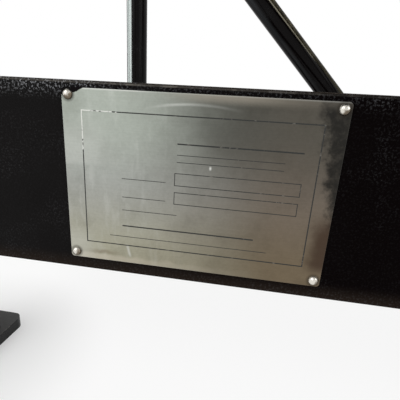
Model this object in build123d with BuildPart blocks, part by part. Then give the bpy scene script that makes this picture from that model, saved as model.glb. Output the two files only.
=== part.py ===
# Vertical-rotor disintegrator mill on a tube and flat-bar stand.
# Millimetres, +Z up, front towards -Y, origin on the floor at the middle of the anchor pattern.
import os
from math import asin, cos, radians, sin, sqrt, tan

from build123d import *

os.makedirs("parts", exist_ok=True)

# Gaps shared by pieces that move past or fit inside each other
running_gap = 0.05
free_gap = 0.8
bolt_gap = 0.5
face_gap = 0.4

# Hex bolts used in several places
m8_d = 8.0
m8_head_height = 5.3
m8_head_flats = 13.0
m10_d = 10.0
m10_head_height = 6.4
m10_head_flats = 16.0
m10_nut_height = 8.0

# Stand: round tube legs inside a ring of flat bars
leg_od = 38.1
leg_wall = 3.2
leg_span_x = 550.0
leg_span_y = 424.0
foot_thickness = 10.0
foot_width = 76.0
foot_margin = 24.0
foot_inner_margin = 4.0
foot_corner_radius = 8.0
anchor_hole_d = 14.0
anchor_reach = 44.0
rail_height = 114.3
rail_thickness = 6.35
rail_edge_radius = 1.6
rail_bottom = 110.0
brace_foot_height = 68.2
brace_top_drop = 29.6
side_brace_foot_height = 150.0
side_brace_top_drop = 76.0
bed_bottom = 668.0
bed_thickness = 12.0
bed_overhang = 16.0
bed_corner_radius = 16.0
bed_rail_height = 50.0

# Nameplate on the front rail
nameplate_width = 152.4
nameplate_height = 101.6
nameplate_thickness = 1.0
nameplate_corner_radius = 2.0
nameplate_x = -79.0
nameplate_top_margin = 4.1
nameplate_screw_inset = 3.6
nameplate_screw_head_d = 5.9
nameplate_screw_head_height = 2.2
nameplate_screw_shank_d = 2.6
nameplate_screw_length = 5.0

# Mill body
mill_side_gap = 14.0
outlet_d = 260.0
base_ring_od = 342.0
base_ring_thickness = 12.0
base_bolt_count = 8
base_bolt_circle_d = 306.0
base_bolt_end_cover = 3.0
housing_wall = 5.0
housing_height = 180.0
top_ring_thickness = 12.0
split_flange_width = 34.0
split_flange_thickness = 8.0
gasket_thickness = 2.0
hinge_barrel_d = 18.0
hinge_pin_d = 8.0
hinge_knuckle_length = 26.0
hinge_end_margin = 10.0
hinge_pin_head_height = 4.0
hinge_pin_head_d = 14.0
knob_d = 36.0
knob_height = 20.0
knob_neck_d = 20.0
knob_neck_height = 8.0
knob_lobe_count = 6
knob_notch_d = 11.0
knob_notch_offset = 2.2
knob_side_gap = 1.5
knob_stud_d = 10.0
knob_stud_overrun = 5.0
knob_end_margin = 42.0

# Screen and its seat
screen_id = 160.0
screen_thickness = 2.0
screen_hole_d = 9.5
screen_hole_rows = 8
screen_hole_columns = 26
screen_plain_edge = 18.0
seat_thickness = 8.0
seat_lip_height = 6.0
seat_lip_width = 4.0
seat_drop = 10.0
seat_arm_width = 12.0
seat_arm_count = 3

# Spout below the bed
spout_flange_thickness = 8.0
spout_wall = 3.0
spout_cone_height = 96.0
spout_outlet_od = 186.0
spout_collar_height = 46.0

# Feed chamber and chute
chamber_id = 168.0
chamber_wall = 4.0
chamber_height = 172.0
chamber_flange_od = 240.0
chamber_top_flange_od = 216.0
chamber_flange_thickness = 8.0
chamber_bolt_count = 8
chamber_bolt_circle_d = 214.0
chute_width = 120.0
chute_depth = 75.0
chute_wall = 3.0
chute_bore_overrun = 4.0
chute_weld_lap = 2.0
chute_slope = 45.0
chute_sill = 6.0
chute_reach = 202.0
chute_flange_width = 28.0
chute_flange_thickness = 8.0
cover_thickness = 14.0
cover_bolt_circle_d = 197.0

# Gate, hopper and lid
gate_thickness = 3.0
gate_side_lap = 9.0
gate_grip_length = 34.0
gate_grip_height = 30.0
gate_frame_thickness = 4.0
hopper_flange_thickness = 6.0
hopper_wall = 2.5
hopper_height = 232.0
hopper_mouth_width = 380.0
hopper_mouth_length = 300.0
hopper_mouth_shift = 98.0
hopper_rim_width = 14.0
hopper_rim_thickness = 4.0
hopper_bolt_inset = 9.0
hopper_bolt_rows = 3
lid_thickness = 3.0
lid_skirt_depth = 14.0
lid_skirt_gap = 2.0
lid_hinge_barrel_d = 13.0
lid_hinge_pin_d = 6.0
lid_hinge_setback = 10.0
lid_knuckle_length = 30.0
lid_knuckle_spread = 250.0
lid_handle_span = 120.0
lid_handle_rise = 38.0
lid_handle_bar_d = 11.0
lid_handle_bend_radius = 15.4
lid_handle_setback = 60.0

# Rotor and its bearings
rotor_d = 152.4
hub_d = 70.0
hub_bore_d = 36.0
hub_length = 150.0
rotor_floor_gap = 14.0
hammer_rows = 5
hammer_per_row = 4
hammer_width = 18.0
hammer_height = 15.0
shaft_upper_d = 38.0
shaft_journal_d = 40.0
shaft_sheave_d = 34.0
shaft_thread_d = 26.0
shaft_nut_flats = 41.0
shaft_nut_height = 14.0
end_nut_flats = 36.0
end_nut_height = 12.0
end_thread_d = 22.0
seal_od = 62.0
bearing_od = 80.0
bearing_width = 18.0
bearing_shoulder_d = 58.0
bearing_waist_d = 66.0
bearing_body_d = 116.0
bearing_housing_height = 140.0
bearing_flange_d = 168.0
bearing_flange_thickness = 14.0
bearing_floor = 16.0
bearing_upper_drop = 30.0
bearing_rib_count = 4
bearing_rib_thickness = 10.0
bearing_rib_margin = 3.0
bearing_rib_toe = 8.0
bearing_rib_root = 4.0
bearing_bolt_count = 4
bearing_bolt_circle_d = 144.0
cap_thickness = 12.0
cap_screw_count = 6
cap_screw_circle_d = 100.0
cap_screw_d = 6.0
cap_screw_depth = 14.0
cap_screw_head_d = 11.0
cap_screw_head_height = 3.5

# Belt drive: three belts from the motor sheave to the rotor sheave
centre_distance = 370.0
belt_count = 3
belt_pitch = 15.9
belt_top_width = 12.7
belt_thickness = 8.0
groove_angle = 38.0
groove_depth = 11.0
groove_side_gap = 0.35
sheave_edge = 9.6
driven_sheave_d = 100.0
drive_sheave_d = 200.0
drive_sheave_rim = 20.0
drive_sheave_web = 14.0
drive_sheave_hub_d = 70.0
drive_sheave_hole_count = 5
drive_sheave_hole_d = 34.0
sheave_rise = 12.0
guard_wall = 2.0
guard_small_gap = 30.0
guard_large_gap = 26.0
guard_height = 92.0
guard_lip = 16.0
guard_floor_hole_gap = 6.0
guard_slot_length = 56.0
guard_slot_width = 7.0
guard_slot_pitch = 15.0
guard_slot_count = 7
guard_slot_row_offset = 50.0

# Motor stand: upright bracket, threaded studs and a sliding motor plate
bracket_thickness = 12.0
bracket_width = 250.0
bracket_foot_length = 150.0
bracket_gusset_height = 130.0
bracket_gusset_thickness = 10.0
bracket_gusset_spread = 190.0
bracket_bolt_d = 12.0
bracket_bolt_inset = 20.0
bracket_bolt_spread = 130.0
bracket_bolt_head_height = 7.5
bracket_bolt_head_flats = 18.0
bracket_nut_height = 10.0
stud_d = 16.0
stud_span_y = 220.0
stud_span_z = 250.0
stud_gap = 40.0
stud_overrun = 30.0
stud_nut_flats = 24.0
stud_nut_height = 13.0
motor_plate_thickness = 12.0
motor_plate_margin = 18.0

# Motor: totally enclosed, shaft upwards, feet against the motor plate
motor_foot_height = 114.3
motor_foot_span_y = 190.5
motor_foot_span_z = 139.7
motor_foot_width = 44.0
motor_foot_thickness = 14.0
motor_foot_margin = 22.0
motor_foot_web = 12.0
motor_boss_stand = 2.0
motor_frame_d = 184.0
motor_frame_wall = 8.0
motor_frame_length = 240.0
motor_fin_count = 30
motor_fin_height = 15.0
motor_fin_root = 2.0
motor_fin_thickness = 3.6
motor_end_d = 202.0
motor_drive_end_height = 40.0
motor_fan_end_height = 34.0
motor_end_wall = 10.0
motor_end_spigot = 8.0
motor_spigot_wall = 6.0
motor_end_chamfer = 8.0
motor_boss_flare = 6.0
motor_end_boss_d = 76.0
motor_top_drop = 16.0
motor_shaft_d = 28.6
motor_core_d = 104.0
motor_core_length = 140.0
motor_shaft_over = 4.0
fan_d = 160.0
fan_hub_d = 50.0
fan_hub_height = 20.0
fan_disc_thickness = 4.0
fan_blade_count = 8
fan_blade_thickness = 4.0
fan_gap = 7.0
fan_cover_wall = 2.0
fan_cover_height = 82.0
fan_cover_lap = 20.0
fan_cover_chamfer = 8.0
fan_cover_slot_width = 6.0
fan_cover_slot_rings = 4
fan_cover_spoke_count = 4
fan_cover_spoke_width = 6.0
conduit_width = 104.0
conduit_height = 116.0
conduit_depth = 58.0
conduit_wall = 3.0
conduit_corner_radius = 4.0
conduit_cover_thickness = 3.0
conduit_neck = 64.0
conduit_rise = 30.0
gland_d = 27.0
gland_flats = 34.0
gland_nut_length = 12.0
gland_body_length = 22.0
gland_bore_d = 16.0

# Places that follow from the sizes above
leg_r = leg_od / 2
leg_x = leg_span_x / 2
leg_y = leg_span_y / 2
rail_inner_x = leg_x + leg_r
rail_inner_y = leg_y + leg_r
rail_outer_x = rail_inner_x + rail_thickness
rail_outer_y = rail_inner_y + rail_thickness
rail_top = rail_bottom + rail_height
bed_top = bed_bottom + bed_thickness
ring_top = bed_top + base_ring_thickness
mill_x = -rail_inner_x + base_ring_od / 2 + mill_side_gap
shell_top = ring_top + housing_height
chamber_bottom = shell_top + top_ring_thickness
chamber_top = chamber_bottom + chamber_height
cover_top = chamber_top + cover_thickness
cap_bottom = cover_top + bearing_housing_height
cap_top = cap_bottom + cap_thickness
sheave_bottom = cap_top + sheave_rise
sheave_width = (belt_count - 1) * belt_pitch + 2 * sheave_edge
sheave_top = sheave_bottom + sheave_width
shell_r = outlet_d / 2
shell_outer_r = shell_r + housing_wall
split_edge_r = shell_outer_r + split_flange_width
hinge_x = mill_x - split_edge_r - hinge_barrel_d / 2 - free_gap
hinge_y = -gasket_thickness / 2
door_face_y = -gasket_thickness - face_gap
motor_x = mill_x + centre_distance
motor_plate_face = motor_x - motor_foot_height
bracket_face = motor_plate_face - motor_plate_thickness - stud_gap
motor_top = cap_top - motor_top_drop
frame_top = motor_top - motor_drive_end_height
frame_bottom = frame_top - motor_frame_length
fan_end_bottom = frame_bottom - motor_fan_end_height
motor_mid = frame_bottom + motor_frame_length / 2
mill_axis = Axis((mill_x, 0, 0), (0, 0, 1))


def save(piece, name):
    """Label a finished piece and write it as its own STEP file."""
    piece.part.label = name
    export_step(piece.part, f"parts/{name}.step")


def turned(profile, axis_x):
    """A closed (radius, height) outline, ready to revolve about the upright axis at axis_x."""
    with BuildSketch(Plane((axis_x, 0, 0), x_dir=(1, 0, 0), z_dir=(0, -1, 0))) as outline:
        with BuildLine():
            Polyline(*profile, close=True)
        make_face()
    return outline.sketch


def tube_outline(outer_r, inner_r, bottom, top):
    """Outline of a plain ring in (radius, height)."""
    return [(inner_r, bottom), (outer_r, bottom), (outer_r, top), (inner_r, top)]


# Four tube legs from the foot plates to the bed
with BuildPart() as legs:
    with BuildSketch(Plane.XY.offset(foot_thickness)):
        with GridLocations(leg_span_x, leg_span_y, 2, 2):
            Circle(leg_r)
            Circle(leg_r - leg_wall, mode=Mode.SUBTRACT)
    extrude(amount=bed_bottom - foot_thickness)
save(legs, "legs")

# Foot plates, one anchor hole outboard of each leg
foot_inner = leg_x - leg_r - foot_inner_margin
foot_outer = leg_x + anchor_reach + foot_margin
with BuildPart() as foot_plates:
    with BuildSketch():
        for side in (-1, 1):
            with Locations(*[(side * (foot_inner + foot_outer) / 2, y) for y in (-leg_y, leg_y)]):
                RectangleRounded(foot_outer - foot_inner, foot_width, foot_corner_radius)
        with GridLocations(leg_span_x + 2 * anchor_reach, leg_span_y, 2, 2):
            Circle(anchor_hole_d / 2, mode=Mode.SUBTRACT)
    extrude(amount=foot_thickness)
save(foot_plates, "foot_plates")

# Ring of rails outside the legs; the front and rear bars cover the ends of the side bars
nameplate_z = rail_top - nameplate_top_margin - nameplate_height / 2
nameplate_screw_span_x = nameplate_width - 2 * nameplate_screw_inset
nameplate_screw_span_z = nameplate_height - 2 * nameplate_screw_inset
front_face = Plane((0, -rail_outer_y, 0), x_dir=(1, 0, 0), z_dir=(0, -1, 0))
with BuildPart() as front_rail:
    with Locations((0, -(rail_inner_y + rail_outer_y) / 2, rail_bottom + rail_height / 2)):
        Box(2 * rail_outer_x, rail_thickness, rail_height)
    fillet(front_rail.edges().filter_by(Axis.X), rail_edge_radius)
    with BuildSketch(front_face):
        with Locations((nameplate_x, nameplate_z)):
            with GridLocations(nameplate_screw_span_x, nameplate_screw_span_z, 2, 2):
                Circle(nameplate_screw_shank_d / 2)
    extrude(amount=-rail_thickness, mode=Mode.SUBTRACT)
save(front_rail, "front_rail")

with BuildPart() as rear_rail:
    with Locations((0, (rail_inner_y + rail_outer_y) / 2, rail_bottom + rail_height / 2)):
        Box(2 * rail_outer_x, rail_thickness, rail_height)
    fillet(rear_rail.edges().filter_by(Axis.X), rail_edge_radius)
save(rear_rail, "rear_rail")

with BuildPart() as side_rails:
    for side in (-1, 1):
        with Locations((side * (rail_inner_x + rail_outer_x) / 2, 0, rail_bottom + rail_height / 2)):
            Box(rail_thickness, 2 * rail_inner_y, rail_height)
    fillet(side_rails.edges().filter_by(Axis.Y), rail_edge_radius)
save(side_rails, "side_rails")


def brace(start, end):
    """A tube between two leg axes, coped to the round of every leg."""
    run = Vector(*end) - Vector(*start)
    with BuildPart() as tube:
        with BuildSketch(Plane(start, z_dir=run)):
            Circle(leg_r)
            Circle(leg_r - leg_wall, mode=Mode.SUBTRACT)
        extrude(amount=run.length)
        with BuildSketch(Plane.XY):
            with GridLocations(leg_span_x, leg_span_y, 2, 2):
                Circle(leg_r)
        extrude(amount=bed_bottom, mode=Mode.SUBTRACT)
    return tube


save(
    brace((leg_x, leg_y, brace_foot_height), (-leg_x, leg_y, bed_bottom - brace_top_drop)),
    "rear_brace",
)
save(
    brace(
        (leg_x, -leg_y, side_brace_foot_height),
        (leg_x, leg_y, bed_bottom - side_brace_top_drop),
    ),
    "side_brace",
)

# Bed plate and the flat bars under its edge
bolt_angle = 180 / base_bolt_count
bearing_bolt_turn = 180 / bearing_bolt_count
bracket_bolt_span_y = bracket_width - 2 * bracket_bolt_inset
bracket_bolt_x = bracket_face + bracket_foot_length - bracket_thickness - bracket_bolt_inset
bracket_bolt_places = [
    (x, y)
    for x in (bracket_bolt_x - bracket_bolt_spread / 2, bracket_bolt_x)
    for y in (-bracket_bolt_span_y / 2, bracket_bolt_span_y / 2)
]
with BuildPart() as bed_plate:
    with BuildSketch(Plane.XY.offset(bed_bottom)):
        RectangleRounded(
            2 * (rail_outer_x + bed_overhang), 2 * (rail_outer_y + bed_overhang), bed_corner_radius
        )
        with Locations((mill_x, 0)):
            Circle(shell_r, mode=Mode.SUBTRACT)
            with PolarLocations(base_bolt_circle_d / 2, base_bolt_count, start_angle=bolt_angle):
                Circle(m10_d / 2 + bolt_gap, mode=Mode.SUBTRACT)
        with Locations(*bracket_bolt_places):
            Circle(bracket_bolt_d / 2 + bolt_gap, mode=Mode.SUBTRACT)
    extrude(amount=bed_thickness)
save(bed_plate, "bed_plate")

bed_rail_z = bed_bottom - bed_rail_height / 2
with BuildPart() as bed_rails:
    for side in (-1, 1):
        with Locations((0, side * (rail_inner_y + rail_outer_y) / 2, bed_rail_z)):
            Box(2 * rail_outer_x, rail_thickness, bed_rail_height)
        with Locations((side * (rail_inner_x + rail_outer_x) / 2, 0, bed_rail_z)):
            Box(rail_thickness, 2 * rail_inner_y, bed_rail_height)
save(bed_rails, "bed_rails")

# Nameplate and its four dome-headed drive screws
with BuildPart() as nameplate:
    with BuildSketch(front_face):
        with Locations((nameplate_x, nameplate_z)):
            RectangleRounded(nameplate_width, nameplate_height, nameplate_corner_radius)
            with GridLocations(nameplate_screw_span_x, nameplate_screw_span_z, 2, 2):
                Circle(nameplate_screw_shank_d / 2, mode=Mode.SUBTRACT)
    extrude(amount=nameplate_thickness)
save(nameplate, "nameplate")

head_r = nameplate_screw_head_d / 2
shank_r = nameplate_screw_shank_d / 2
dome_r = (head_r**2 + nameplate_screw_head_height**2) / (2 * nameplate_screw_head_height)
with BuildPart() as nameplate_screws:
    for x in (-nameplate_screw_span_x / 2, nameplate_screw_span_x / 2):
        for z in (-nameplate_screw_span_z / 2, nameplate_screw_span_z / 2):
            seat_y = -rail_outer_y - nameplate_thickness
            axis_start = (nameplate_x + x, seat_y, nameplate_z + z)
            with BuildSketch(Plane(axis_start, x_dir=(1, 0, 0), z_dir=(0, 0, 1))):
                with BuildLine():
                    Polyline(
                        (0, nameplate_screw_length),
                        (shank_r, nameplate_screw_length),
                        (shank_r, 0),
                        (head_r, 0),
                    )
                    RadiusArc((head_r, 0), (0, -nameplate_screw_head_height), dome_r)
                    Line((0, -nameplate_screw_head_height), (0, nameplate_screw_length))
                make_face()
            revolve(axis=Axis(axis_start, (0, 1, 0)))
save(nameplate_screws, "nameplate_screws")

# Discharge spout bolted up under the bed
spout_top = bed_bottom
cone_top = spout_top - spout_flange_thickness
cone_bottom = cone_top - spout_cone_height
spout_bottom = cone_bottom - spout_collar_height
collar_r = spout_outlet_od / 2
with BuildPart() as discharge_spout:
    revolve(
        turned(
            [
                (shell_r, spout_top),
                (base_ring_od / 2, spout_top),
                (base_ring_od / 2, cone_top),
                (shell_r + spout_wall, cone_top),
                (collar_r, cone_bottom),
                (collar_r, spout_bottom),
                (collar_r - spout_wall, spout_bottom),
                (collar_r - spout_wall, cone_bottom),
                (shell_r, cone_top),
            ],
            mill_x,
        ),
        axis=mill_axis,
    )
    with BuildSketch(Plane.XY.offset(cone_top)):
        with Locations((mill_x, 0)):
            with PolarLocations(base_bolt_circle_d / 2, base_bolt_count, start_angle=bolt_angle):
                Circle(m10_d / 2 + bolt_gap)
    extrude(amount=spout_flange_thickness, mode=Mode.SUBTRACT)
save(discharge_spout, "discharge_spout")

# M10 bolts: base bolts up through spout flange and bed into blind threads in the base ring,
# and bearing bolts down through the bearing flange into the chamber cover
base_bolt_top = ring_top - base_bolt_end_cover
bearing_bolt_seat = cover_top + bearing_flange_thickness
with BuildPart() as m10_bolts:
    for seat, rise, shank, circle_d, count, turn in (
        (
            cone_top,
            -m10_head_height,
            base_bolt_top - cone_top,
            base_bolt_circle_d,
            base_bolt_count,
            bolt_angle,
        ),
        (
            bearing_bolt_seat,
            m10_head_height,
            -(bearing_flange_thickness + cover_thickness),
            bearing_bolt_circle_d,
            bearing_bolt_count,
            bearing_bolt_turn,
        ),
    ):
        with BuildSketch(Plane.XY.offset(seat)):
            with Locations((mill_x, 0)):
                with PolarLocations(circle_d / 2, count, start_angle=turn):
                    RegularPolygon(m10_head_flats / 2, 6, major_radius=False)
        extrude(amount=rise)
        with BuildSketch(Plane.XY.offset(seat)):
            with Locations((mill_x, 0)):
                with PolarLocations(circle_d / 2, count, start_angle=turn):
                    Circle(m10_d / 2)
        extrude(amount=shank)
save(m10_bolts, "m10_bolts")

# Housing: base ring, rear half shell with split flanges, top ring and the fixed hinge knuckles
knuckle_gap = free_gap
knuckle_places = [
    ring_top + hinge_end_margin + step * (hinge_knuckle_length + knuckle_gap) for step in range(2)
]
knuckle_places += [
    shell_top - hinge_end_margin - hinge_knuckle_length - step * (hinge_knuckle_length + knuckle_gap)
    for step in range(2)
]
door_knuckles = [knuckle_places[1], knuckle_places[3]]
fixed_knuckles = [knuckle_places[0], knuckle_places[2]]
knob_x = mill_x + shell_outer_r + knob_d / 2 + knob_side_gap
knob_heights = [ring_top + knob_end_margin, shell_top - knob_end_margin]
strap_length = split_flange_width / 2 + hinge_barrel_d / 2 + free_gap
strap_x = hinge_x + strap_length / 2
with BuildPart() as mill_housing:
    revolve(turned(tube_outline(base_ring_od / 2, shell_r, bed_top, ring_top), mill_x), axis=mill_axis)
    revolve(
        turned(tube_outline(split_edge_r, screen_id / 2, shell_top, chamber_bottom), mill_x), axis=mill_axis
    )
    with BuildSketch(Plane.XY.offset(ring_top)):
        with Locations((mill_x, 0)):
            Circle(shell_outer_r)
            Circle(shell_r, mode=Mode.SUBTRACT)
            with Locations((0, -shell_outer_r)):
                Rectangle(2 * shell_outer_r, 2 * shell_outer_r, mode=Mode.SUBTRACT)
            for side in (-1, 1):
                with Locations((side * (shell_r + split_edge_r) / 2, split_flange_thickness / 2)):
                    Rectangle(split_edge_r - shell_r, split_flange_thickness)
    extrude(amount=housing_height)
    for height in fixed_knuckles:
        with BuildSketch(Plane.XY.offset(height)):
            with Locations((hinge_x, hinge_y)):
                Circle(hinge_barrel_d / 2)
            with Locations((strap_x, split_flange_thickness / 2)):
                Rectangle(strap_length, split_flange_thickness)
            with Locations((hinge_x, hinge_y)):
                Circle(hinge_pin_d / 2, mode=Mode.SUBTRACT)
        extrude(amount=hinge_knuckle_length)
    with BuildSketch(Plane((knob_x, split_flange_thickness, 0), x_dir=(1, 0, 0), z_dir=(0, -1, 0))):
        with Locations(*[(0, height) for height in knob_heights]):
            Circle(knob_stud_d / 2 + free_gap)
    extrude(amount=split_flange_thickness, mode=Mode.SUBTRACT)
    with BuildSketch(Plane.XY.offset(bed_top)):
        with Locations((mill_x, 0)):
            with PolarLocations(base_bolt_circle_d / 2, base_bolt_count, start_angle=bolt_angle):
                Circle(m10_d / 2)
    extrude(amount=base_bolt_top - bed_top, mode=Mode.SUBTRACT)
    with BuildSketch(Plane.XY.offset(shell_top)):
        with Locations((mill_x, 0)):
            with PolarLocations(chamber_bolt_circle_d / 2, chamber_bolt_count, start_angle=bolt_angle):
                Circle(m8_d / 2)
    extrude(amount=top_ring_thickness, mode=Mode.SUBTRACT)
save(mill_housing, "mill_housing")

# Door gasket on the faces of the fixed split flanges
with BuildPart() as door_gasket:
    with BuildSketch(Plane((mill_x, 0, 0), x_dir=(1, 0, 0), z_dir=(0, -1, 0))):
        for side in (-1, 1):
            with Locations((side * (shell_r + split_edge_r) / 2, (ring_top + shell_top) / 2)):
                Rectangle(split_edge_r - shell_r, housing_height)
        with Locations(*[(knob_x - mill_x, height) for height in knob_heights]):
            Circle(knob_stud_d / 2 + free_gap, mode=Mode.SUBTRACT)
    extrude(amount=gasket_thickness)
save(door_gasket, "door_gasket")

# Hinged front half of the housing with its own split flanges and knuckles
door_bottom = ring_top + free_gap
door_top = shell_top - free_gap
with BuildPart() as housing_door:
    with BuildSketch(Plane.XY.offset(door_bottom)):
        with Locations((mill_x, 0)):
            Circle(shell_outer_r)
            Circle(shell_r, mode=Mode.SUBTRACT)
            with Locations((0, door_face_y + shell_outer_r)):
                Rectangle(2 * shell_outer_r, 2 * shell_outer_r, mode=Mode.SUBTRACT)
            for side in (-1, 1):
                door_flange_x = side * (shell_r + split_edge_r) / 2
                with Locations((door_flange_x, door_face_y - split_flange_thickness / 2)):
                    Rectangle(split_edge_r - shell_r, split_flange_thickness)
    extrude(amount=door_top - door_bottom)
    for height in door_knuckles:
        with BuildSketch(Plane.XY.offset(height)):
            with Locations((hinge_x, hinge_y)):
                Circle(hinge_barrel_d / 2)
            with Locations((strap_x, door_face_y - split_flange_thickness / 2)):
                Rectangle(strap_length, split_flange_thickness)
            with Locations((hinge_x, hinge_y)):
                Circle(hinge_pin_d / 2 + running_gap, mode=Mode.SUBTRACT)
        extrude(amount=hinge_knuckle_length)
    with BuildSketch(Plane((knob_x, door_face_y, 0), x_dir=(1, 0, 0), z_dir=(0, -1, 0))):
        with Locations(*[(0, height) for height in knob_heights]):
            Circle(knob_stud_d / 2 + running_gap)
    extrude(amount=split_flange_thickness, mode=Mode.SUBTRACT)
save(housing_door, "housing_door")

# Two captive hand knobs on the door's free edge
knob_seat_y = door_face_y - split_flange_thickness - face_gap
knob_stud_length = split_flange_thickness + knob_stud_overrun - knob_seat_y
for knob_name, height in zip(("lower", "upper"), knob_heights):
    knob_plane = Plane((knob_x, knob_seat_y, height), x_dir=(1, 0, 0), z_dir=(0, -1, 0))
    with BuildPart(knob_plane) as knob:
        Cylinder(
            knob_neck_d / 2, knob_neck_height, align=(Align.CENTER, Align.CENTER, Align.MIN)
        )
        with BuildSketch(knob_plane.offset(knob_neck_height)):
            Circle(knob_d / 2)
            with PolarLocations(knob_d / 2 + knob_notch_offset, knob_lobe_count):
                Circle(knob_notch_d / 2, mode=Mode.SUBTRACT)
        extrude(amount=knob_height)
        with BuildSketch(knob_plane):
            Circle(knob_stud_d / 2)
        extrude(amount=-knob_stud_length)
    save(knob, f"door_knob_{knob_name}")

# Screen seat: a disc with a locating lip on three arms inside the base ring
seat_top = ring_top - seat_drop + seat_thickness
seat_bottom = ring_top - seat_drop
screen_outer_r = screen_id / 2 + screen_thickness
seat_r = screen_outer_r + bolt_gap + seat_lip_width
with BuildPart() as screen_seat:
    with BuildSketch(Plane.XY.offset(seat_bottom)):
        with Locations((mill_x, 0)):
            Circle(seat_r)
            with PolarLocations(shell_r / 2, seat_arm_count, start_angle=90):
                Rectangle(shell_r, seat_arm_width)
            Circle(shell_r, mode=Mode.INTERSECT)
    extrude(amount=seat_thickness)
    revolve(
        turned(tube_outline(seat_r, screen_outer_r + bolt_gap, seat_top, seat_top + seat_lip_height), mill_x),
        axis=mill_axis,
    )
save(screen_seat, "screen_seat")

# Perforated screen standing on the seat under the top ring
screen_top = shell_top - bolt_gap
hole_step = (screen_top - seat_top - 2 * screen_plain_edge) / (screen_hole_rows - 1)
with BuildPart() as screen:
    revolve(turned(tube_outline(screen_outer_r, screen_id / 2, seat_top, screen_top), mill_x), axis=mill_axis)
    for row in range(screen_hole_rows):
        row_plane = Plane((mill_x, 0, seat_top + screen_plain_edge + row * hole_step))
        turn = (row % 2) * 180 / screen_hole_columns
        with Locations(row_plane):
            with PolarLocations(0, screen_hole_columns, start_angle=turn):
                Cylinder(
                    screen_hole_d / 2,
                    2 * screen_outer_r,
                    rotation=(0, 90, 0),
                    align=(Align.CENTER, Align.CENTER, Align.MIN),
                    mode=Mode.SUBTRACT,
                )
save(screen, "screen")

# Feed chamber with a window in its front, and the inclined chute coped and welded over the window
chamber_r = chamber_id / 2
chamber_outer_r = chamber_r + chamber_wall
slope = tan(radians(chute_slope))
half_rise = chute_depth / 2 / cos(radians(chute_slope))
wall_rise = chute_wall / cos(radians(chute_slope))
chute_floor = chamber_bottom + chamber_flange_thickness + chute_sill
chute_root = chute_floor + half_rise - slope * chamber_r
chute_top = chute_root + slope * chute_reach
inner_start = sqrt(chamber_r**2 - (chute_width / 2) ** 2) - chute_bore_overrun
outer_start = sqrt(chamber_outer_r**2 - (chute_width / 2 + chute_wall) ** 2) - chute_weld_lap


def chute_side(start, half, floor):
    """Side outline of the chute in (distance to the front, height), level at floor and top."""
    low = max(chute_root + slope * start - half, floor)
    foot = (low - chute_root + half) / slope
    return [
        (-start, low),
        (-foot, low),
        (-(chute_top - chute_root + half) / slope, chute_top),
        (-(chute_top - chute_root - half) / slope, chute_top),
        (-start, chute_root + slope * start + half),
    ]


chute_plane = Plane((mill_x, 0, 0), x_dir=(0, 1, 0), z_dir=(1, 0, 0))
throat_length = 2 * half_rise / slope
throat_y = -chute_reach
flange_x = chute_width + 2 * chute_flange_width
flange_y = throat_length + 2 * chute_flange_width
hopper_bolt_x = chute_width / 2 + chute_flange_width - hopper_bolt_inset
hopper_bolt_y = (flange_y - 2 * hopper_bolt_inset) / (hopper_bolt_rows - 1)
hopper_bolt_places = [
    (mill_x + side * hopper_bolt_x, throat_y - flange_y / 2 + hopper_bolt_inset + row * hopper_bolt_y)
    for side in (-1, 1)
    for row in range(hopper_bolt_rows)
]
with BuildPart() as feed_chamber:
    revolve(turned(tube_outline(chamber_outer_r, 0, chamber_bottom, chamber_top), mill_x), axis=mill_axis)
    with BuildSketch(Plane.XY.offset(chamber_bottom)):
        with Locations((mill_x, 0)):
            Circle(chamber_flange_od / 2)
    extrude(amount=chamber_flange_thickness)
    with BuildSketch(Plane.XY.offset(chamber_top - chamber_flange_thickness)):
        with Locations((mill_x, 0)):
            Circle(chamber_top_flange_od / 2)
    extrude(amount=chamber_flange_thickness)
    revolve(
        turned(
            [
                (0, chamber_bottom),
                (screen_id / 2, chamber_bottom),
                (screen_id / 2, chamber_bottom + chamber_flange_thickness),
                (chamber_r, chamber_bottom + chamber_flange_thickness),
                (chamber_r, chamber_top),
                (0, chamber_top),
            ],
            mill_x,
        ),
        axis=mill_axis,
        mode=Mode.SUBTRACT,
    )
    with BuildSketch(chute_plane):
        with BuildLine():
            Polyline(*chute_side(inner_start, half_rise, chute_floor), close=True)
        make_face()
    extrude(amount=chute_width / 2, both=True, mode=Mode.SUBTRACT)
    with BuildSketch(Plane.XY.offset(chamber_bottom)):
        with Locations((mill_x, 0)):
            with PolarLocations(chamber_bolt_circle_d / 2, chamber_bolt_count, start_angle=bolt_angle):
                Circle(m8_d / 2 + bolt_gap)
    extrude(amount=chamber_flange_thickness, mode=Mode.SUBTRACT)
    with BuildSketch(Plane.XY.offset(chamber_top - chamber_flange_thickness)):
        with Locations((mill_x, 0)):
            with PolarLocations(cover_bolt_circle_d / 2, chamber_bolt_count, start_angle=bolt_angle):
                Circle(m8_d / 2)
    extrude(amount=chamber_flange_thickness, mode=Mode.SUBTRACT)
save(feed_chamber, "feed_chamber")

with BuildPart() as feed_chute:
    with BuildSketch(chute_plane):
        with BuildLine():
            Polyline(*chute_side(outer_start, half_rise + wall_rise, chute_floor - chute_wall), close=True)
        make_face()
    extrude(amount=chute_width / 2 + chute_wall, both=True)
    with BuildSketch(Plane.XY.offset(chute_top - chute_flange_thickness)):
        with Locations((mill_x, throat_y)):
            Rectangle(flange_x, flange_y)
    extrude(amount=chute_flange_thickness)
    with BuildSketch(chute_plane):
        with BuildLine():
            Polyline(*chute_side(inner_start, half_rise, chute_floor), close=True)
        make_face()
    extrude(amount=chute_width / 2, both=True, mode=Mode.SUBTRACT)
    with BuildSketch(Plane.XY.offset(chamber_bottom)):
        with Locations((mill_x, 0)):
            Circle(chamber_outer_r)
    extrude(amount=chamber_top - chamber_bottom, mode=Mode.SUBTRACT)
    with BuildSketch(Plane.XY.offset(chute_top - chute_flange_thickness)):
        with Locations(*hopper_bolt_places):
            Circle(m8_d / 2 + bolt_gap)
    extrude(amount=chute_flange_thickness, mode=Mode.SUBTRACT)
save(feed_chute, "feed_chute")

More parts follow.
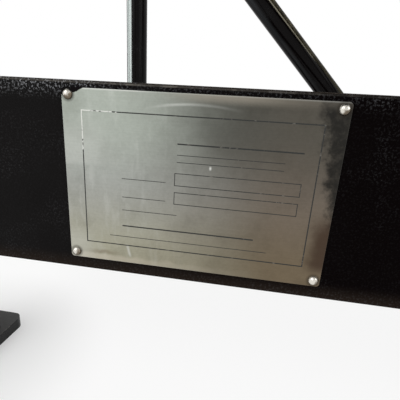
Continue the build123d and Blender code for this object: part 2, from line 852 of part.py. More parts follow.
# Chamber cover plate, which also carries the bearing housing and the shaft seal
with BuildPart() as chamber_cover:
    with BuildSketch(Plane.XY.offset(chamber_top)):
        with Locations((mill_x, 0)):
            Circle(chamber_top_flange_od / 2)
            Circle(seal_od / 2, mode=Mode.SUBTRACT)
            with PolarLocations(cover_bolt_circle_d / 2, chamber_bolt_count, start_angle=bolt_angle):
                Circle(m8_d / 2 + bolt_gap, mode=Mode.SUBTRACT)
            with PolarLocations(bearing_bolt_circle_d / 2, bearing_bolt_count, start_angle=bearing_bolt_turn):
                Circle(m10_d / 2, mode=Mode.SUBTRACT)
    extrude(amount=cover_thickness)
save(chamber_cover, "chamber_cover")

# Gate frame between the chute and the hopper, open at the front for the gate
gate_width = chute_width + 2 * gate_side_lap
gate_back = throat_y + throat_length / 2 + gate_side_lap
gate_front = throat_y - flange_y / 2 - gate_grip_length
frame_slot_back = gate_back + free_gap
with BuildPart() as gate_frame:
    with BuildSketch(Plane.XY.offset(chute_top)):
        with Locations((mill_x, throat_y)):
            Rectangle(flange_x, flange_y)
        slot_front = throat_y - flange_y / 2
        with Locations((mill_x, (slot_front + frame_slot_back) / 2)):
            Rectangle(gate_width + 2 * free_gap, frame_slot_back - slot_front, mode=Mode.SUBTRACT)
        with Locations(*hopper_bolt_places):
            Circle(m8_d / 2 + bolt_gap, mode=Mode.SUBTRACT)
    extrude(amount=gate_frame_thickness)
save(gate_frame, "gate_frame")

# Sliding feed gate with a turned-up grip in front
gate_bottom = chute_top + (gate_frame_thickness - gate_thickness) / 2
with BuildPart() as feed_gate:
    with BuildSketch(Plane.XY.offset(gate_bottom)):
        with Locations((mill_x, (gate_front + gate_back) / 2)):
            Rectangle(gate_width, gate_back - gate_front)
    extrude(amount=gate_thickness)
    with BuildSketch(Plane.XY.offset(gate_bottom)):
        with Locations((mill_x, gate_front + gate_thickness / 2)):
            Rectangle(gate_width, gate_thickness)
    extrude(amount=gate_grip_height)
save(feed_gate, "feed_gate")

# Hopper of folded sheet with a bottom flange, a turned-out rim and two hinge lugs at the back
hopper_bottom = chute_top + gate_frame_thickness
hopper_rim_top = hopper_bottom + hopper_height
mouth_y = throat_y - hopper_mouth_shift
mouth_back = mouth_y + hopper_mouth_length / 2
rim_back = mouth_back + hopper_wall + hopper_rim_width
lid_bottom = hopper_rim_top + face_gap
lid_axis_y = rim_back + lid_hinge_setback
lid_axis_z = lid_bottom + lid_thickness / 2
lug_width = lid_knuckle_length / 2 - free_gap
with BuildPart() as hopper:
    with BuildSketch(Plane.XY.offset(hopper_bottom)):
        with Locations((mill_x, throat_y)):
            Rectangle(chute_width + 2 * hopper_wall, throat_length + 2 * hopper_wall)
    with BuildSketch(Plane.XY.offset(hopper_rim_top)):
        with Locations((mill_x, mouth_y)):
            Rectangle(hopper_mouth_width + 2 * hopper_wall, hopper_mouth_length + 2 * hopper_wall)
    loft(ruled=True)
    with BuildSketch(Plane.XY.offset(hopper_bottom)):
        with Locations((mill_x, throat_y)):
            Rectangle(flange_x, flange_y)
    extrude(amount=hopper_flange_thickness)
    with BuildSketch(Plane.XY.offset(hopper_rim_top - hopper_rim_thickness)):
        with Locations((mill_x, mouth_y)):
            Rectangle(
                hopper_mouth_width + 2 * hopper_wall + 2 * hopper_rim_width,
                hopper_mouth_length + 2 * hopper_wall + 2 * hopper_rim_width,
            )
    extrude(amount=hopper_rim_thickness)
    with BuildSketch(Plane.XY.offset(hopper_bottom)):
        with Locations((mill_x, throat_y)):
            Rectangle(chute_width, throat_length)
    with BuildSketch(Plane.XY.offset(hopper_rim_top)):
        with Locations((mill_x, mouth_y)):
            Rectangle(hopper_mouth_width, hopper_mouth_length)
    loft(ruled=True, mode=Mode.SUBTRACT)
    for side in (-1, 1):
        for edge in (-1, 1):
            lug_x = mill_x + side * lid_knuckle_spread / 2
            lug_x += edge * (lid_knuckle_length / 2 + free_gap + lug_width / 2)
            with BuildSketch(Plane((lug_x, 0, 0), x_dir=(0, 1, 0), z_dir=(1, 0, 0))):
                with Locations((lid_axis_y, lid_axis_z)):
                    Circle(lid_hinge_barrel_d / 2)
                with BuildLine():
                    Polyline(
                        (rim_back - hopper_rim_width / 2, hopper_rim_top - hopper_rim_thickness),
                        (lid_axis_y, lid_axis_z - lid_hinge_barrel_d / 2),
                        (lid_axis_y, lid_axis_z),
                        (rim_back, hopper_rim_top),
                        (rim_back - hopper_rim_width / 2, hopper_rim_top),
                        close=True,
                    )
                make_face()
                with Locations((lid_axis_y, lid_axis_z)):
                    Circle(lid_hinge_pin_d / 2, mode=Mode.SUBTRACT)
            extrude(amount=lug_width / 2, both=True)
    with BuildSketch(Plane.XY.offset(hopper_bottom)):
        with Locations(*hopper_bolt_places):
            Circle(m8_d / 2 + bolt_gap)
    extrude(amount=hopper_flange_thickness, mode=Mode.SUBTRACT)
save(hopper, "hopper")

# M8 bolts: chamber on housing, cover on chamber, and hopper on chute with nuts below
grip_top = hopper_bottom + hopper_flange_thickness
grip_bottom = chute_top - chute_flange_thickness
with BuildPart() as m8_bolts:
    for circle_d, seat, depth in (
        (
            chamber_bolt_circle_d,
            chamber_bottom + chamber_flange_thickness,
            chamber_flange_thickness + top_ring_thickness,
        ),
        (cover_bolt_circle_d, cover_top, cover_thickness + chamber_flange_thickness),
    ):
        with BuildSketch(Plane.XY.offset(seat)):
            with Locations((mill_x, 0)):
                with PolarLocations(circle_d / 2, chamber_bolt_count, start_angle=bolt_angle):
                    RegularPolygon(m8_head_flats / 2, 6, major_radius=False)
        extrude(amount=m8_head_height)
        with BuildSketch(Plane.XY.offset(seat)):
            with Locations((mill_x, 0)):
                with PolarLocations(circle_d / 2, chamber_bolt_count, start_angle=bolt_angle):
                    Circle(m8_d / 2)
        extrude(amount=-depth)
    for seat, rise in ((grip_top, m8_head_height), (grip_bottom, -m8_head_height)):
        with BuildSketch(Plane.XY.offset(seat)):
            with Locations(*hopper_bolt_places):
                RegularPolygon(m8_head_flats / 2, 6, major_radius=False)
        extrude(amount=rise)
    with BuildSketch(Plane.XY.offset(grip_bottom)):
        with Locations(*hopper_bolt_places):
            Circle(m8_d / 2)
    extrude(amount=grip_top - grip_bottom)
save(m8_bolts, "m8_bolts")

# Lid: flat sheet with a skirt on three sides and two knuckles at the back
lid_inner_x = hopper_mouth_width + 2 * hopper_wall + 2 * hopper_rim_width + 2 * lid_skirt_gap
lid_front = mouth_y - hopper_mouth_length / 2 - hopper_wall - hopper_rim_width - lid_skirt_gap - lid_thickness
lid_length = rim_back - lid_front
lid_mid_y = (rim_back + lid_front) / 2
with BuildPart() as hopper_lid:
    with BuildSketch(Plane.XY.offset(lid_bottom)):
        with Locations((mill_x, lid_mid_y)):
            Rectangle(lid_inner_x + 2 * lid_thickness, lid_length)
    extrude(amount=lid_thickness)
    with BuildSketch(Plane.XY.offset(lid_bottom)):
        with Locations((mill_x, lid_mid_y)):
            Rectangle(lid_inner_x + 2 * lid_thickness, lid_length)
            with Locations((0, lid_thickness)):
                Rectangle(lid_inner_x, lid_length, mode=Mode.SUBTRACT)
    extrude(amount=-lid_skirt_depth)
    for side in (-1, 1):
        knuckle_x = mill_x + side * lid_knuckle_spread / 2
        with BuildSketch(Plane((knuckle_x, 0, 0), x_dir=(0, 1, 0), z_dir=(1, 0, 0))):
            with Locations((lid_axis_y, lid_axis_z)):
                Circle(lid_hinge_barrel_d / 2)
            with Locations(((rim_back + lid_axis_y) / 2, lid_axis_z)):
                Rectangle(lid_axis_y - rim_back, lid_thickness)
            with Locations((lid_axis_y, lid_axis_z)):
                Circle(lid_hinge_pin_d / 2 + running_gap, mode=Mode.SUBTRACT)
        extrude(amount=lid_knuckle_length / 2, both=True)
save(hopper_lid, "hopper_lid")

# Hinge pins: a headed one dropped through the door's four knuckles, and two through the lid's
# lugs and knuckles
pin_bottom = fixed_knuckles[0]
pin_top = fixed_knuckles[1] + hinge_knuckle_length
pin_half = lid_knuckle_length / 2 + free_gap + lug_width
with BuildPart() as hinge_pins:
    with BuildSketch(Plane.XY.offset(pin_bottom)):
        with Locations((hinge_x, hinge_y)):
            Circle(hinge_pin_d / 2)
    extrude(amount=pin_top - pin_bottom)
    with BuildSketch(Plane.XY.offset(pin_top)):
        with Locations((hinge_x, hinge_y)):
            Circle(hinge_pin_head_d / 2)
    extrude(amount=hinge_pin_head_height)
    for side in (-1, 1):
        pin_x = mill_x + side * lid_knuckle_spread / 2
        with BuildSketch(Plane((pin_x, 0, 0), x_dir=(0, 1, 0), z_dir=(1, 0, 0))):
            with Locations((lid_axis_y, lid_axis_z)):
                Circle(lid_hinge_pin_d / 2)
        extrude(amount=pin_half, both=True)
save(hinge_pins, "hinge_pins")

# Bar handle across the front of the lid
handle_y = lid_front + lid_handle_setback
lid_top = lid_bottom + lid_thickness
with BuildPart() as lid_handle:
    with BuildLine(Plane((mill_x, handle_y, lid_top), x_dir=(1, 0, 0), z_dir=(0, -1, 0))):
        bar = FilletPolyline(
            (-lid_handle_span / 2, 0),
            (-lid_handle_span / 2, lid_handle_rise),
            (lid_handle_span / 2, lid_handle_rise),
            (lid_handle_span / 2, 0),
            radius=lid_handle_bend_radius,
        )
    with BuildSketch(Plane((mill_x - lid_handle_span / 2, handle_y, lid_top))):
        Circle(lid_handle_bar_d / 2)
    sweep(path=bar)
save(lid_handle, "lid_handle")

# Rotor shaft, stepped for the hub, the journals and the sheave
rotor_bottom = seat_top + rotor_floor_gap
hub_bottom = rotor_bottom + end_nut_height
hub_top = hub_bottom + hub_length
shaft_nut_bottom = sheave_top
shaft_end = shaft_nut_bottom + shaft_nut_height
with BuildPart() as rotor_shaft:
    revolve(
        turned(
            [
                (0, rotor_bottom),
                (end_thread_d / 2, rotor_bottom),
                (end_thread_d / 2, hub_bottom),
                (hub_bore_d / 2, hub_bottom),
                (hub_bore_d / 2, hub_top),
                (shaft_upper_d / 2, hub_top),
                (shaft_upper_d / 2, cover_top),
                (shaft_journal_d / 2, cover_top),
                (shaft_journal_d / 2, sheave_bottom - running_gap),
                (shaft_sheave_d / 2, sheave_bottom - running_gap),
                (shaft_sheave_d / 2, sheave_top),
                (shaft_thread_d / 2, sheave_top),
                (shaft_thread_d / 2, shaft_end),
                (0, shaft_end),
            ],
            mill_x,
        ),
        axis=mill_axis,
    )
save(rotor_shaft, "rotor_shaft")

# Hub and the fixed hammers welded around it, alternate rows turned half a step
with BuildPart() as rotor_hub:
    revolve(turned(tube_outline(hub_d / 2, hub_bore_d / 2, hub_bottom, hub_top), mill_x), axis=mill_axis)
save(rotor_hub, "rotor_hub")

hammer_step = (hub_length - hammer_height) / (hammer_rows - 1)
with BuildPart() as hammers:
    for row in range(hammer_rows):
        turn = (row % 2) * 180 / hammer_per_row
        with BuildSketch(Plane.XY.offset(hub_bottom + row * hammer_step)):
            with Locations((mill_x, 0)):
                with PolarLocations(rotor_d / 4, hammer_per_row, start_angle=turn):
                    Rectangle(rotor_d / 2, hammer_width)
                Circle(rotor_d / 2, mode=Mode.INTERSECT)
                Circle(hub_d / 2, mode=Mode.SUBTRACT)
        extrude(amount=hammer_height)
save(hammers, "hammers")

# Nuts on the two ends of the rotor shaft
with BuildPart() as shaft_nuts:
    for bottom, flats, height, thread_d in (
        (rotor_bottom, end_nut_flats, end_nut_height, end_thread_d),
        (shaft_nut_bottom, shaft_nut_flats, shaft_nut_height, shaft_thread_d),
    ):
        with BuildSketch(Plane.XY.offset(bottom)):
            with Locations((mill_x, 0)):
                RegularPolygon(flats / 2, 6, major_radius=False)
                Circle(thread_d / 2, mode=Mode.SUBTRACT)
        extrude(amount=height)
save(shaft_nuts, "shaft_nuts")

# Lip seal in the chamber cover
with BuildPart() as shaft_seal:
    revolve(
        turned(tube_outline(seal_od / 2, shaft_upper_d / 2 + running_gap, chamber_top, cover_top), mill_x),
        axis=mill_axis,
    )
save(shaft_seal, "shaft_seal")

# Cast bearing housing with a ribbed flange
body_r = bearing_body_d / 2
lower_bearing = cover_top + bearing_floor
upper_bearing = cap_bottom - bearing_upper_drop
with BuildPart() as bearing_housing:
    revolve(
        turned(
            [
                (bearing_shoulder_d / 2, cover_top),
                (bearing_flange_d / 2, cover_top),
                (bearing_flange_d / 2, cover_top + bearing_flange_thickness),
                (body_r, cover_top + bearing_flange_thickness),
                (body_r, cap_bottom),
                (bearing_od / 2, cap_bottom),
                (bearing_od / 2, upper_bearing),
                (bearing_waist_d / 2, upper_bearing),
                (bearing_waist_d / 2, lower_bearing + bearing_width),
                (bearing_od / 2, lower_bearing + bearing_width),
                (bearing_od / 2, lower_bearing),
                (bearing_shoulder_d / 2, lower_bearing),
            ],
            mill_x,
        ),
        axis=mill_axis,
    )
    rib_toe_r = bearing_flange_d / 2 - bearing_rib_margin
    rib_root_r = body_r - bearing_rib_root
    rib_bottom = cover_top + bearing_flange_thickness - bearing_rib_root
    rib_toe_top = cover_top + bearing_flange_thickness + bearing_rib_toe
    rib_top = cap_bottom - bearing_upper_drop
    for rib in range(bearing_rib_count):
        rib_turn = radians(rib * 360 / bearing_rib_count)
        rib_out = (cos(rib_turn), sin(rib_turn), 0)
        rib_side = (sin(rib_turn), -cos(rib_turn), 0)
        with BuildSketch(Plane((mill_x, 0, 0), x_dir=rib_out, z_dir=rib_side)):
            with BuildLine():
                Polyline(
                    (rib_root_r, rib_bottom),
                    (rib_toe_r, rib_bottom),
                    (rib_toe_r, rib_toe_top),
                    (body_r, rib_top),
                    (rib_root_r, rib_top),
                    close=True,
                )
            make_face()
        extrude(amount=bearing_rib_thickness / 2, both=True)
    with BuildSketch(Plane.XY.offset(cover_top)):
        with Locations((mill_x, 0)):
            with PolarLocations(bearing_bolt_circle_d / 2, bearing_bolt_count, start_angle=bearing_bolt_turn):
                Circle(m10_d / 2 + bolt_gap)
    extrude(amount=bearing_flange_thickness, mode=Mode.SUBTRACT)
    with BuildSketch(Plane.XY.offset(cap_bottom)):
        with Locations((mill_x, 0)):
            with PolarLocations(cap_screw_circle_d / 2, cap_screw_count):
                Circle(cap_screw_d / 2)
    extrude(amount=-cap_screw_depth, mode=Mode.SUBTRACT)
save(bearing_housing, "bearing_housing")

# Two ball bearings, drawn as closed rings
journal_r = shaft_journal_d / 2 + running_gap
with BuildPart() as shaft_bearings:
    for bottom in (lower_bearing, upper_bearing):
        revolve(
            turned(tube_outline(bearing_od / 2, journal_r, bottom, bottom + bearing_width), mill_x),
            axis=mill_axis,
        )
save(shaft_bearings, "shaft_bearings")

# Bearing cap with a spigot that holds the upper bearing down
with BuildPart() as bearing_cap:
    revolve(
        turned(
            [
                (shaft_journal_d / 2 + free_gap, cap_bottom),
                (bearing_waist_d / 2, cap_bottom),
                (bearing_waist_d / 2, upper_bearing + bearing_width),
                (bearing_od / 2, upper_bearing + bearing_width),
                (bearing_od / 2, cap_bottom),
                (body_r, cap_bottom),
                (body_r, cap_top),
                (shaft_journal_d / 2 + free_gap, cap_top),
            ],
            mill_x,
        ),
        axis=mill_axis,
    )
    with BuildSketch(Plane.XY.offset(cap_bottom)):
        with Locations((mill_x, 0)):
            with PolarLocations(cap_screw_circle_d / 2, cap_screw_count):
                Circle(cap_screw_d / 2 + bolt_gap)
    extrude(amount=cap_thickness, mode=Mode.SUBTRACT)
save(bearing_cap, "bearing_cap")

# Sheaves: rows of V grooves on a common width
belt_middles = [sheave_bottom + sheave_edge + row * belt_pitch for row in range(belt_count)]
groove_half = belt_top_width / 2 + groove_side_gap
groove_root_half = groove_half - groove_depth * tan(radians(groove_angle / 2))


def groove(outer_r, middle):
    """Outline of one V groove in (radius, height)."""
    return [
        (outer_r, middle - groove_half),
        (outer_r, middle + groove_half),
        (outer_r - groove_depth, middle + groove_root_half),
        (outer_r - groove_depth, middle - groove_root_half),
    ]


with BuildPart() as driven_sheave:
    revolve(
        turned(tube_outline(driven_sheave_d / 2, shaft_sheave_d / 2, sheave_bottom, sheave_top), mill_x),
        axis=mill_axis,
    )
    for middle in belt_middles:
        revolve(turned(groove(driven_sheave_d / 2, middle), mill_x), axis=mill_axis, mode=Mode.SUBTRACT)
save(driven_sheave, "driven_sheave")

motor_axis = Axis((motor_x, 0, 0), (0, 0, 1))
drive_r = drive_sheave_d / 2
drive_rim_r = drive_r - drive_sheave_rim
drive_hub_r = drive_sheave_hub_d / 2
web_bottom = (sheave_bottom + sheave_top - drive_sheave_web) / 2
with BuildPart() as drive_sheave:
    revolve(
        turned(
            [
                (motor_shaft_d / 2, sheave_bottom),
                (drive_hub_r, sheave_bottom),
                (drive_hub_r, web_bottom),
                (drive_rim_r, web_bottom),
                (drive_rim_r, sheave_bottom),
                (drive_r, sheave_bottom),
                (drive_r, sheave_top),
                (drive_rim_r, sheave_top),
                (drive_rim_r, web_bottom + drive_sheave_web),
                (drive_hub_r, web_bottom + drive_sheave_web),
                (drive_hub_r, sheave_top),
                (motor_shaft_d / 2, sheave_top),
            ],
            motor_x,
        ),
        axis=motor_axis,
    )
    for middle in belt_middles:
        revolve(turned(groove(drive_r, middle), motor_x), axis=motor_axis, mode=Mode.SUBTRACT)
    with BuildSketch(Plane.XY.offset(web_bottom)):
        with Locations((motor_x, 0)):
            with PolarLocations((drive_rim_r + drive_hub_r) / 2, drive_sheave_hole_count):
                Circle(drive_sheave_hole_d / 2)
    extrude(amount=drive_sheave_web, mode=Mode.SUBTRACT)
save(drive_sheave, "drive_sheave")


def open_belt(small_r, large_r):
    """Corner points of an open loop round both sheave centres: two tangents and two arcs."""
    lean = asin((large_r - small_r) / centre_distance)
    small_touch = (mill_x - small_r * sin(lean), small_r * cos(lean))
    large_touch = (motor_x - large_r * sin(lean), large_r * cos(lean))
    return small_touch, large_touch


def loop_face(small_r, large_r, height):
    """Flat face bounded by an open loop round both sheave centres."""
    small_touch, large_touch = open_belt(small_r, large_r)
    with BuildSketch(Plane.XY.offset(height)) as face:
        with BuildLine():
            Line(small_touch, large_touch)
            ThreePointArc(large_touch, (motor_x + large_r, 0), (large_touch[0], -large_touch[1]))
            Line((large_touch[0], -large_touch[1]), (small_touch[0], -small_touch[1]))
            ThreePointArc((small_touch[0], -small_touch[1]), (mill_x - small_r, 0), small_touch)
        make_face()
    return face.sketch


# V-belts: a trapezoid carried round the open loop
belt_inner_half = belt_top_width / 2 - belt_thickness * tan(radians(groove_angle / 2))
with BuildPart() as v_belts:
    small_touch, large_touch = open_belt(driven_sheave_d / 2, drive_r)
    tangent = Vector(large_touch[0] - small_touch[0], large_touch[1] - small_touch[1], 0)
    for middle in belt_middles:
        with BuildLine(Plane.XY.offset(middle)) as loop:
            Line(small_touch, large_touch)
            ThreePointArc(large_touch, (motor_x + drive_r, 0), (large_touch[0], -large_touch[1]))
            Line((large_touch[0], -large_touch[1]), (small_touch[0], -small_touch[1]))
            ThreePointArc((small_touch[0], -small_touch[1]), (mill_x - driven_sheave_d / 2, 0), small_touch)
        section = Plane((small_touch[0], small_touch[1], middle), x_dir=(0, 0, 1), z_dir=tangent)
        with BuildSketch(section):
            with BuildLine():
                Polyline(
                    (-belt_top_width / 2, 0),
                    (belt_top_width / 2, 0),
                    (belt_inner_half, belt_thickness),
                    (-belt_inner_half, belt_thickness),
                    close=True,
                )
            make_face()
        sweep(path=loop.wires()[0])
save(v_belts, "v_belts")

# Guard pan: floor and wall round both sheaves, seated on the bearing cap and the bracket
guard_small_r = driven_sheave_d / 2 + guard_small_gap
guard_large_r = drive_r + guard_large_gap
guard_top = cap_top + guard_height
shaft_hole_r = shaft_journal_d / 2 + guard_floor_hole_gap
motor_slot_length = 2 * stud_gap
with BuildPart() as guard_pan:
    extrude(loop_face(guard_small_r, guard_large_r, cap_top), amount=guard_height)
    extrude(
        loop_face(guard_small_r - guard_wall, guard_large_r - guard_wall, cap_top + guard_wall),
        amount=guard_height,
        mode=Mode.SUBTRACT,
    )
    with BuildSketch(Plane.XY.offset(cap_top)):
        with Locations((mill_x, 0)):
            Circle(shaft_hole_r)
            with PolarLocations(cap_screw_circle_d / 2, cap_screw_count):
                Circle(cap_screw_d / 2 + bolt_gap)
        with Locations((motor_x, 0)):
            SlotCenterToCenter(motor_slot_length, 2 * (motor_shaft_d / 2 + guard_floor_hole_gap))
    extrude(amount=guard_wall, mode=Mode.SUBTRACT)
save(guard_pan, "guard_pan")

# Cap screws through the pan floor and the bearing cap
with BuildPart() as cap_screws:
    with BuildSketch(Plane.XY.offset(cap_top + guard_wall)):
        with Locations((mill_x, 0)):
            with PolarLocations(cap_screw_circle_d / 2, cap_screw_count):
                Circle(cap_screw_head_d / 2)
    extrude(amount=cap_screw_head_height)
    with BuildSketch(Plane.XY.offset(cap_top + guard_wall)):
        with Locations((mill_x, 0)):
            with PolarLocations(cap_screw_circle_d / 2, cap_screw_count):
                Circle(cap_screw_d / 2)
    extrude(amount=-(guard_wall + cap_thickness + cap_screw_depth))
save(cap_screws, "cap_screws")

# Guard cover: slotted lid whose lip fits round the pan wall
cover_small_r = guard_small_r + guard_wall + running_gap
cover_large_r = guard_large_r + guard_wall + running_gap
slot_places = []
for column in range(guard_slot_count):
    slot_x = motor_x + (column - (guard_slot_count - 1) / 2) * guard_slot_pitch
    slot_places += [(slot_x, guard_slot_row_offset), (slot_x, -guard_slot_row_offset)]
with BuildPart() as guard_cover:
    extrude(loop_face(cover_small_r, cover_large_r, guard_top - guard_lip), amount=guard_lip + guard_wall)
    extrude(
        loop_face(cover_small_r - guard_wall, cover_large_r - guard_wall, guard_top - guard_lip),
        amount=guard_lip,
        mode=Mode.SUBTRACT,
    )
    with BuildSketch(Plane.XY.offset(guard_top)):
        with Locations(*slot_places):
            SlotOverall(guard_slot_length, guard_slot_width, rotation=90)
    extrude(amount=guard_wall, mode=Mode.SUBTRACT)
save(guard_cover, "guard_cover")

# Motor bracket: upright plate on a foot plate with two gussets
foot_left = bracket_face - bracket_thickness
with BuildPart() as motor_bracket:
    with BuildSketch(Plane.XY.offset(bed_top)):
        with Locations((foot_left + bracket_foot_length / 2, 0)):
            Rectangle(bracket_foot_length, bracket_width)
        with Locations(*bracket_bolt_places):
            Circle(bracket_bolt_d / 2 + bolt_gap, mode=Mode.SUBTRACT)
    extrude(amount=bracket_thickness)
    with BuildSketch(Plane.XY.offset(bed_top + bracket_thickness)):
        with Locations((foot_left + bracket_thickness / 2, 0)):
            Rectangle(bracket_thickness, bracket_width)
    extrude(amount=cap_top - bed_top - bracket_thickness)
    for side in (-1, 1):
        gusset_y = side * (bracket_gusset_spread - bracket_gusset_thickness) / 2
        gusset_corner = (bracket_face, gusset_y, bed_top + bracket_thickness)
        with BuildSketch(Plane(gusset_corner, x_dir=(1, 0, 0), z_dir=(0, -1, 0))):
            with BuildLine():
                Polyline(
                    (0, 0),
                    (bracket_foot_length - 2 * bracket_thickness, 0),
                    (0, bracket_gusset_height),
                    close=True,
                )
            make_face()
        extrude(amount=bracket_gusset_thickness / 2, both=True)
    with BuildSketch(Plane((bracket_face, 0, motor_mid), x_dir=(0, 1, 0), z_dir=(1, 0, 0))):
        with GridLocations(stud_span_y, stud_span_z, 2, 2):
            Circle(stud_d / 2)
    extrude(amount=-bracket_thickness, mode=Mode.SUBTRACT)
save(motor_bracket, "motor_bracket")

# Bolts and nuts holding the bracket foot to the bed
with BuildPart() as bracket_bolts:
    seat = bed_top + bracket_thickness
    with BuildSketch(Plane.XY.offset(seat)):
        with Locations(*bracket_bolt_places):
            RegularPolygon(bracket_bolt_head_flats / 2, 6, major_radius=False)
    extrude(amount=bracket_bolt_head_height)
    with BuildSketch(Plane.XY.offset(bed_bottom)):
        with Locations(*bracket_bolt_places):
            RegularPolygon(bracket_bolt_head_flats / 2, 6, major_radius=False)
    extrude(amount=-bracket_nut_height)
    with BuildSketch(Plane.XY.offset(bed_bottom)):
        with Locations(*bracket_bolt_places):
            Circle(bracket_bolt_d / 2)
    extrude(amount=seat - bed_bottom)
save(bracket_bolts, "bracket_bolts")

# Threaded studs screwed into the bracket
stud_plane = Plane((bracket_face - bracket_thickness, 0, motor_mid), x_dir=(0, 1, 0), z_dir=(1, 0, 0))
stud_length = bracket_thickness + stud_gap + motor_plate_thickness + stud_nut_height + stud_overrun
with BuildPart() as motor_studs:
    with BuildSketch(stud_plane):
        with GridLocations(stud_span_y, stud_span_z, 2, 2):
            Circle(stud_d / 2)
    extrude(amount=stud_length)
save(motor_studs, "motor_studs")

# Motor plate on the studs, drilled for the motor feet
plate_back = motor_plate_face - motor_plate_thickness
plate_plane = Plane((plate_back, 0, motor_mid), x_dir=(0, 1, 0), z_dir=(1, 0, 0))
plate_width = stud_span_y + 2 * motor_plate_margin
plate_height = stud_span_z + 2 * motor_plate_margin
with BuildPart() as motor_plate:
    with BuildSketch(plate_plane):
        Rectangle(plate_width, plate_height)
        with GridLocations(stud_span_y, stud_span_z, 2, 2):
            Circle(stud_d / 2 + bolt_gap, mode=Mode.SUBTRACT)
        with GridLocations(motor_foot_span_y, motor_foot_span_z, 2, 2):
            Circle(m10_d / 2 + bolt_gap, mode=Mode.SUBTRACT)
    extrude(amount=motor_plate_thickness)
save(motor_plate, "motor_plate")

# Nuts on both sides of the motor plate
with BuildPart() as stud_nuts:
    for face, rise in (
        (plate_plane, -stud_nut_height),
        (plate_plane.offset(motor_plate_thickness), stud_nut_height),
    ):
        with BuildSketch(face):
            with GridLocations(stud_span_y, stud_span_z, 2, 2):
                RegularPolygon(stud_nut_flats / 2, 6, major_radius=False)
                Circle(stud_d / 2 + running_gap, mode=Mode.SUBTRACT)
        extrude(amount=rise)
save(stud_nuts, "stud_nuts")

# Finned motor frame with two feet and the boss for the conduit box
frame_r = motor_frame_d / 2
frame_bore_r = frame_r - motor_frame_wall
foot_half_z = motor_foot_span_z / 2 + motor_foot_margin
boss_face_y = -(frame_r + motor_fin_height + motor_boss_stand)
conduit_z = motor_mid + conduit_rise
with BuildPart() as motor_frame:
    with BuildSketch(Plane.XY.offset(frame_bottom)):
        with Locations((motor_x, 0)):
            Circle(frame_r)
            fin_turn = 180 / motor_fin_count
            fin_middle_r = frame_r + (motor_fin_height - motor_fin_root) / 2
            with PolarLocations(fin_middle_r, motor_fin_count, start_angle=fin_turn):
                Rectangle(motor_fin_height + motor_fin_root, motor_fin_thickness)
    extrude(amount=motor_frame_length)
    for side in (-1, 1):
        foot_y = side * motor_foot_span_y / 2
        web_y = side * (motor_foot_span_y / 2 - motor_foot_width / 2 + motor_foot_web / 2)
        with Locations((motor_plate_face + motor_foot_thickness / 2, foot_y, motor_mid)):
            Box(motor_foot_thickness, motor_foot_width, 2 * foot_half_z)
        with Locations((motor_plate_face + motor_foot_height / 2, web_y, motor_mid)):
            Box(motor_foot_height, motor_foot_web, 2 * foot_half_z)
    with Locations((motor_x, boss_face_y / 2, conduit_z)):
        Box(conduit_neck, -boss_face_y, conduit_neck)
    with BuildSketch(Plane.XY.offset(frame_bottom)):
        with Locations((motor_x, 0)):
            Circle(frame_bore_r)
    extrude(amount=motor_frame_length, mode=Mode.SUBTRACT)
    with BuildSketch(Plane((motor_plate_face, 0, motor_mid), x_dir=(0, 1, 0), z_dir=(1, 0, 0))):
        with GridLocations(motor_foot_span_y, motor_foot_span_z, 2, 2):
            Circle(m10_d / 2 + bolt_gap)
    extrude(amount=motor_foot_thickness, mode=Mode.SUBTRACT)
save(motor_frame, "motor_frame")

# Bolts and nuts through the motor feet and the motor plate
with BuildPart() as motor_foot_bolts:
    foot_plane = plate_plane.offset(motor_plate_thickness + motor_foot_thickness)
    for face, rise in ((foot_plane, m10_head_height), (plate_plane, -m10_nut_height)):
        with BuildSketch(face):
            with GridLocations(motor_foot_span_y, motor_foot_span_z, 2, 2):
                RegularPolygon(m10_head_flats / 2, 6, major_radius=False)
        extrude(amount=rise)
    with BuildSketch(plate_plane):
        with GridLocations(motor_foot_span_y, motor_foot_span_z, 2, 2):
            Circle(m10_d / 2)
    extrude(amount=motor_plate_thickness + motor_foot_thickness)
save(motor_foot_bolts, "motor_foot_bolts")

# End brackets of the motor, each with a spigot in the frame and a bearing boss
end_r = motor_end_d / 2
boss_r = motor_end_boss_d / 2
bearing_r = motor_shaft_d / 2 + running_gap
with BuildPart() as motor_drive_end:
    revolve(
        turned(
            [
                (bearing_r, motor_top),
                (boss_r, motor_top),
                (boss_r + motor_boss_flare, motor_top - motor_end_wall),
                (end_r - motor_end_chamfer, motor_top - motor_end_wall),
                (end_r, motor_top - motor_end_wall - motor_end_chamfer),
                (end_r, frame_top),
                (frame_bore_r, frame_top),
                (frame_bore_r, frame_top - motor_end_spigot),
                (frame_bore_r - motor_spigot_wall, frame_top - motor_end_spigot),
                (frame_bore_r - motor_spigot_wall, motor_top - 2 * motor_end_wall),
                (boss_r, motor_top - 2 * motor_end_wall),
                (boss_r, frame_top),
                (bearing_r, frame_top),
            ],
            motor_x,
        ),
        axis=motor_axis,
    )
save(motor_drive_end, "motor_drive_end")

with BuildPart() as motor_fan_end:
    revolve(
        turned(
            [
                (bearing_r, fan_end_bottom),
                (end_r, fan_end_bottom),
                (end_r, frame_bottom),
                (frame_bore_r, frame_bottom),
                (frame_bore_r, frame_bottom + motor_end_spigot),
                (frame_bore_r - motor_spigot_wall, frame_bottom + motor_end_spigot),
                (frame_bore_r - motor_spigot_wall, fan_end_bottom + motor_end_wall),
                (boss_r, fan_end_bottom + motor_end_wall),
                (boss_r, frame_bottom),
                (bearing_r, frame_bottom),
            ],
            motor_x,
        ),
        axis=motor_axis,
    )
save(motor_fan_end, "motor_fan_end")

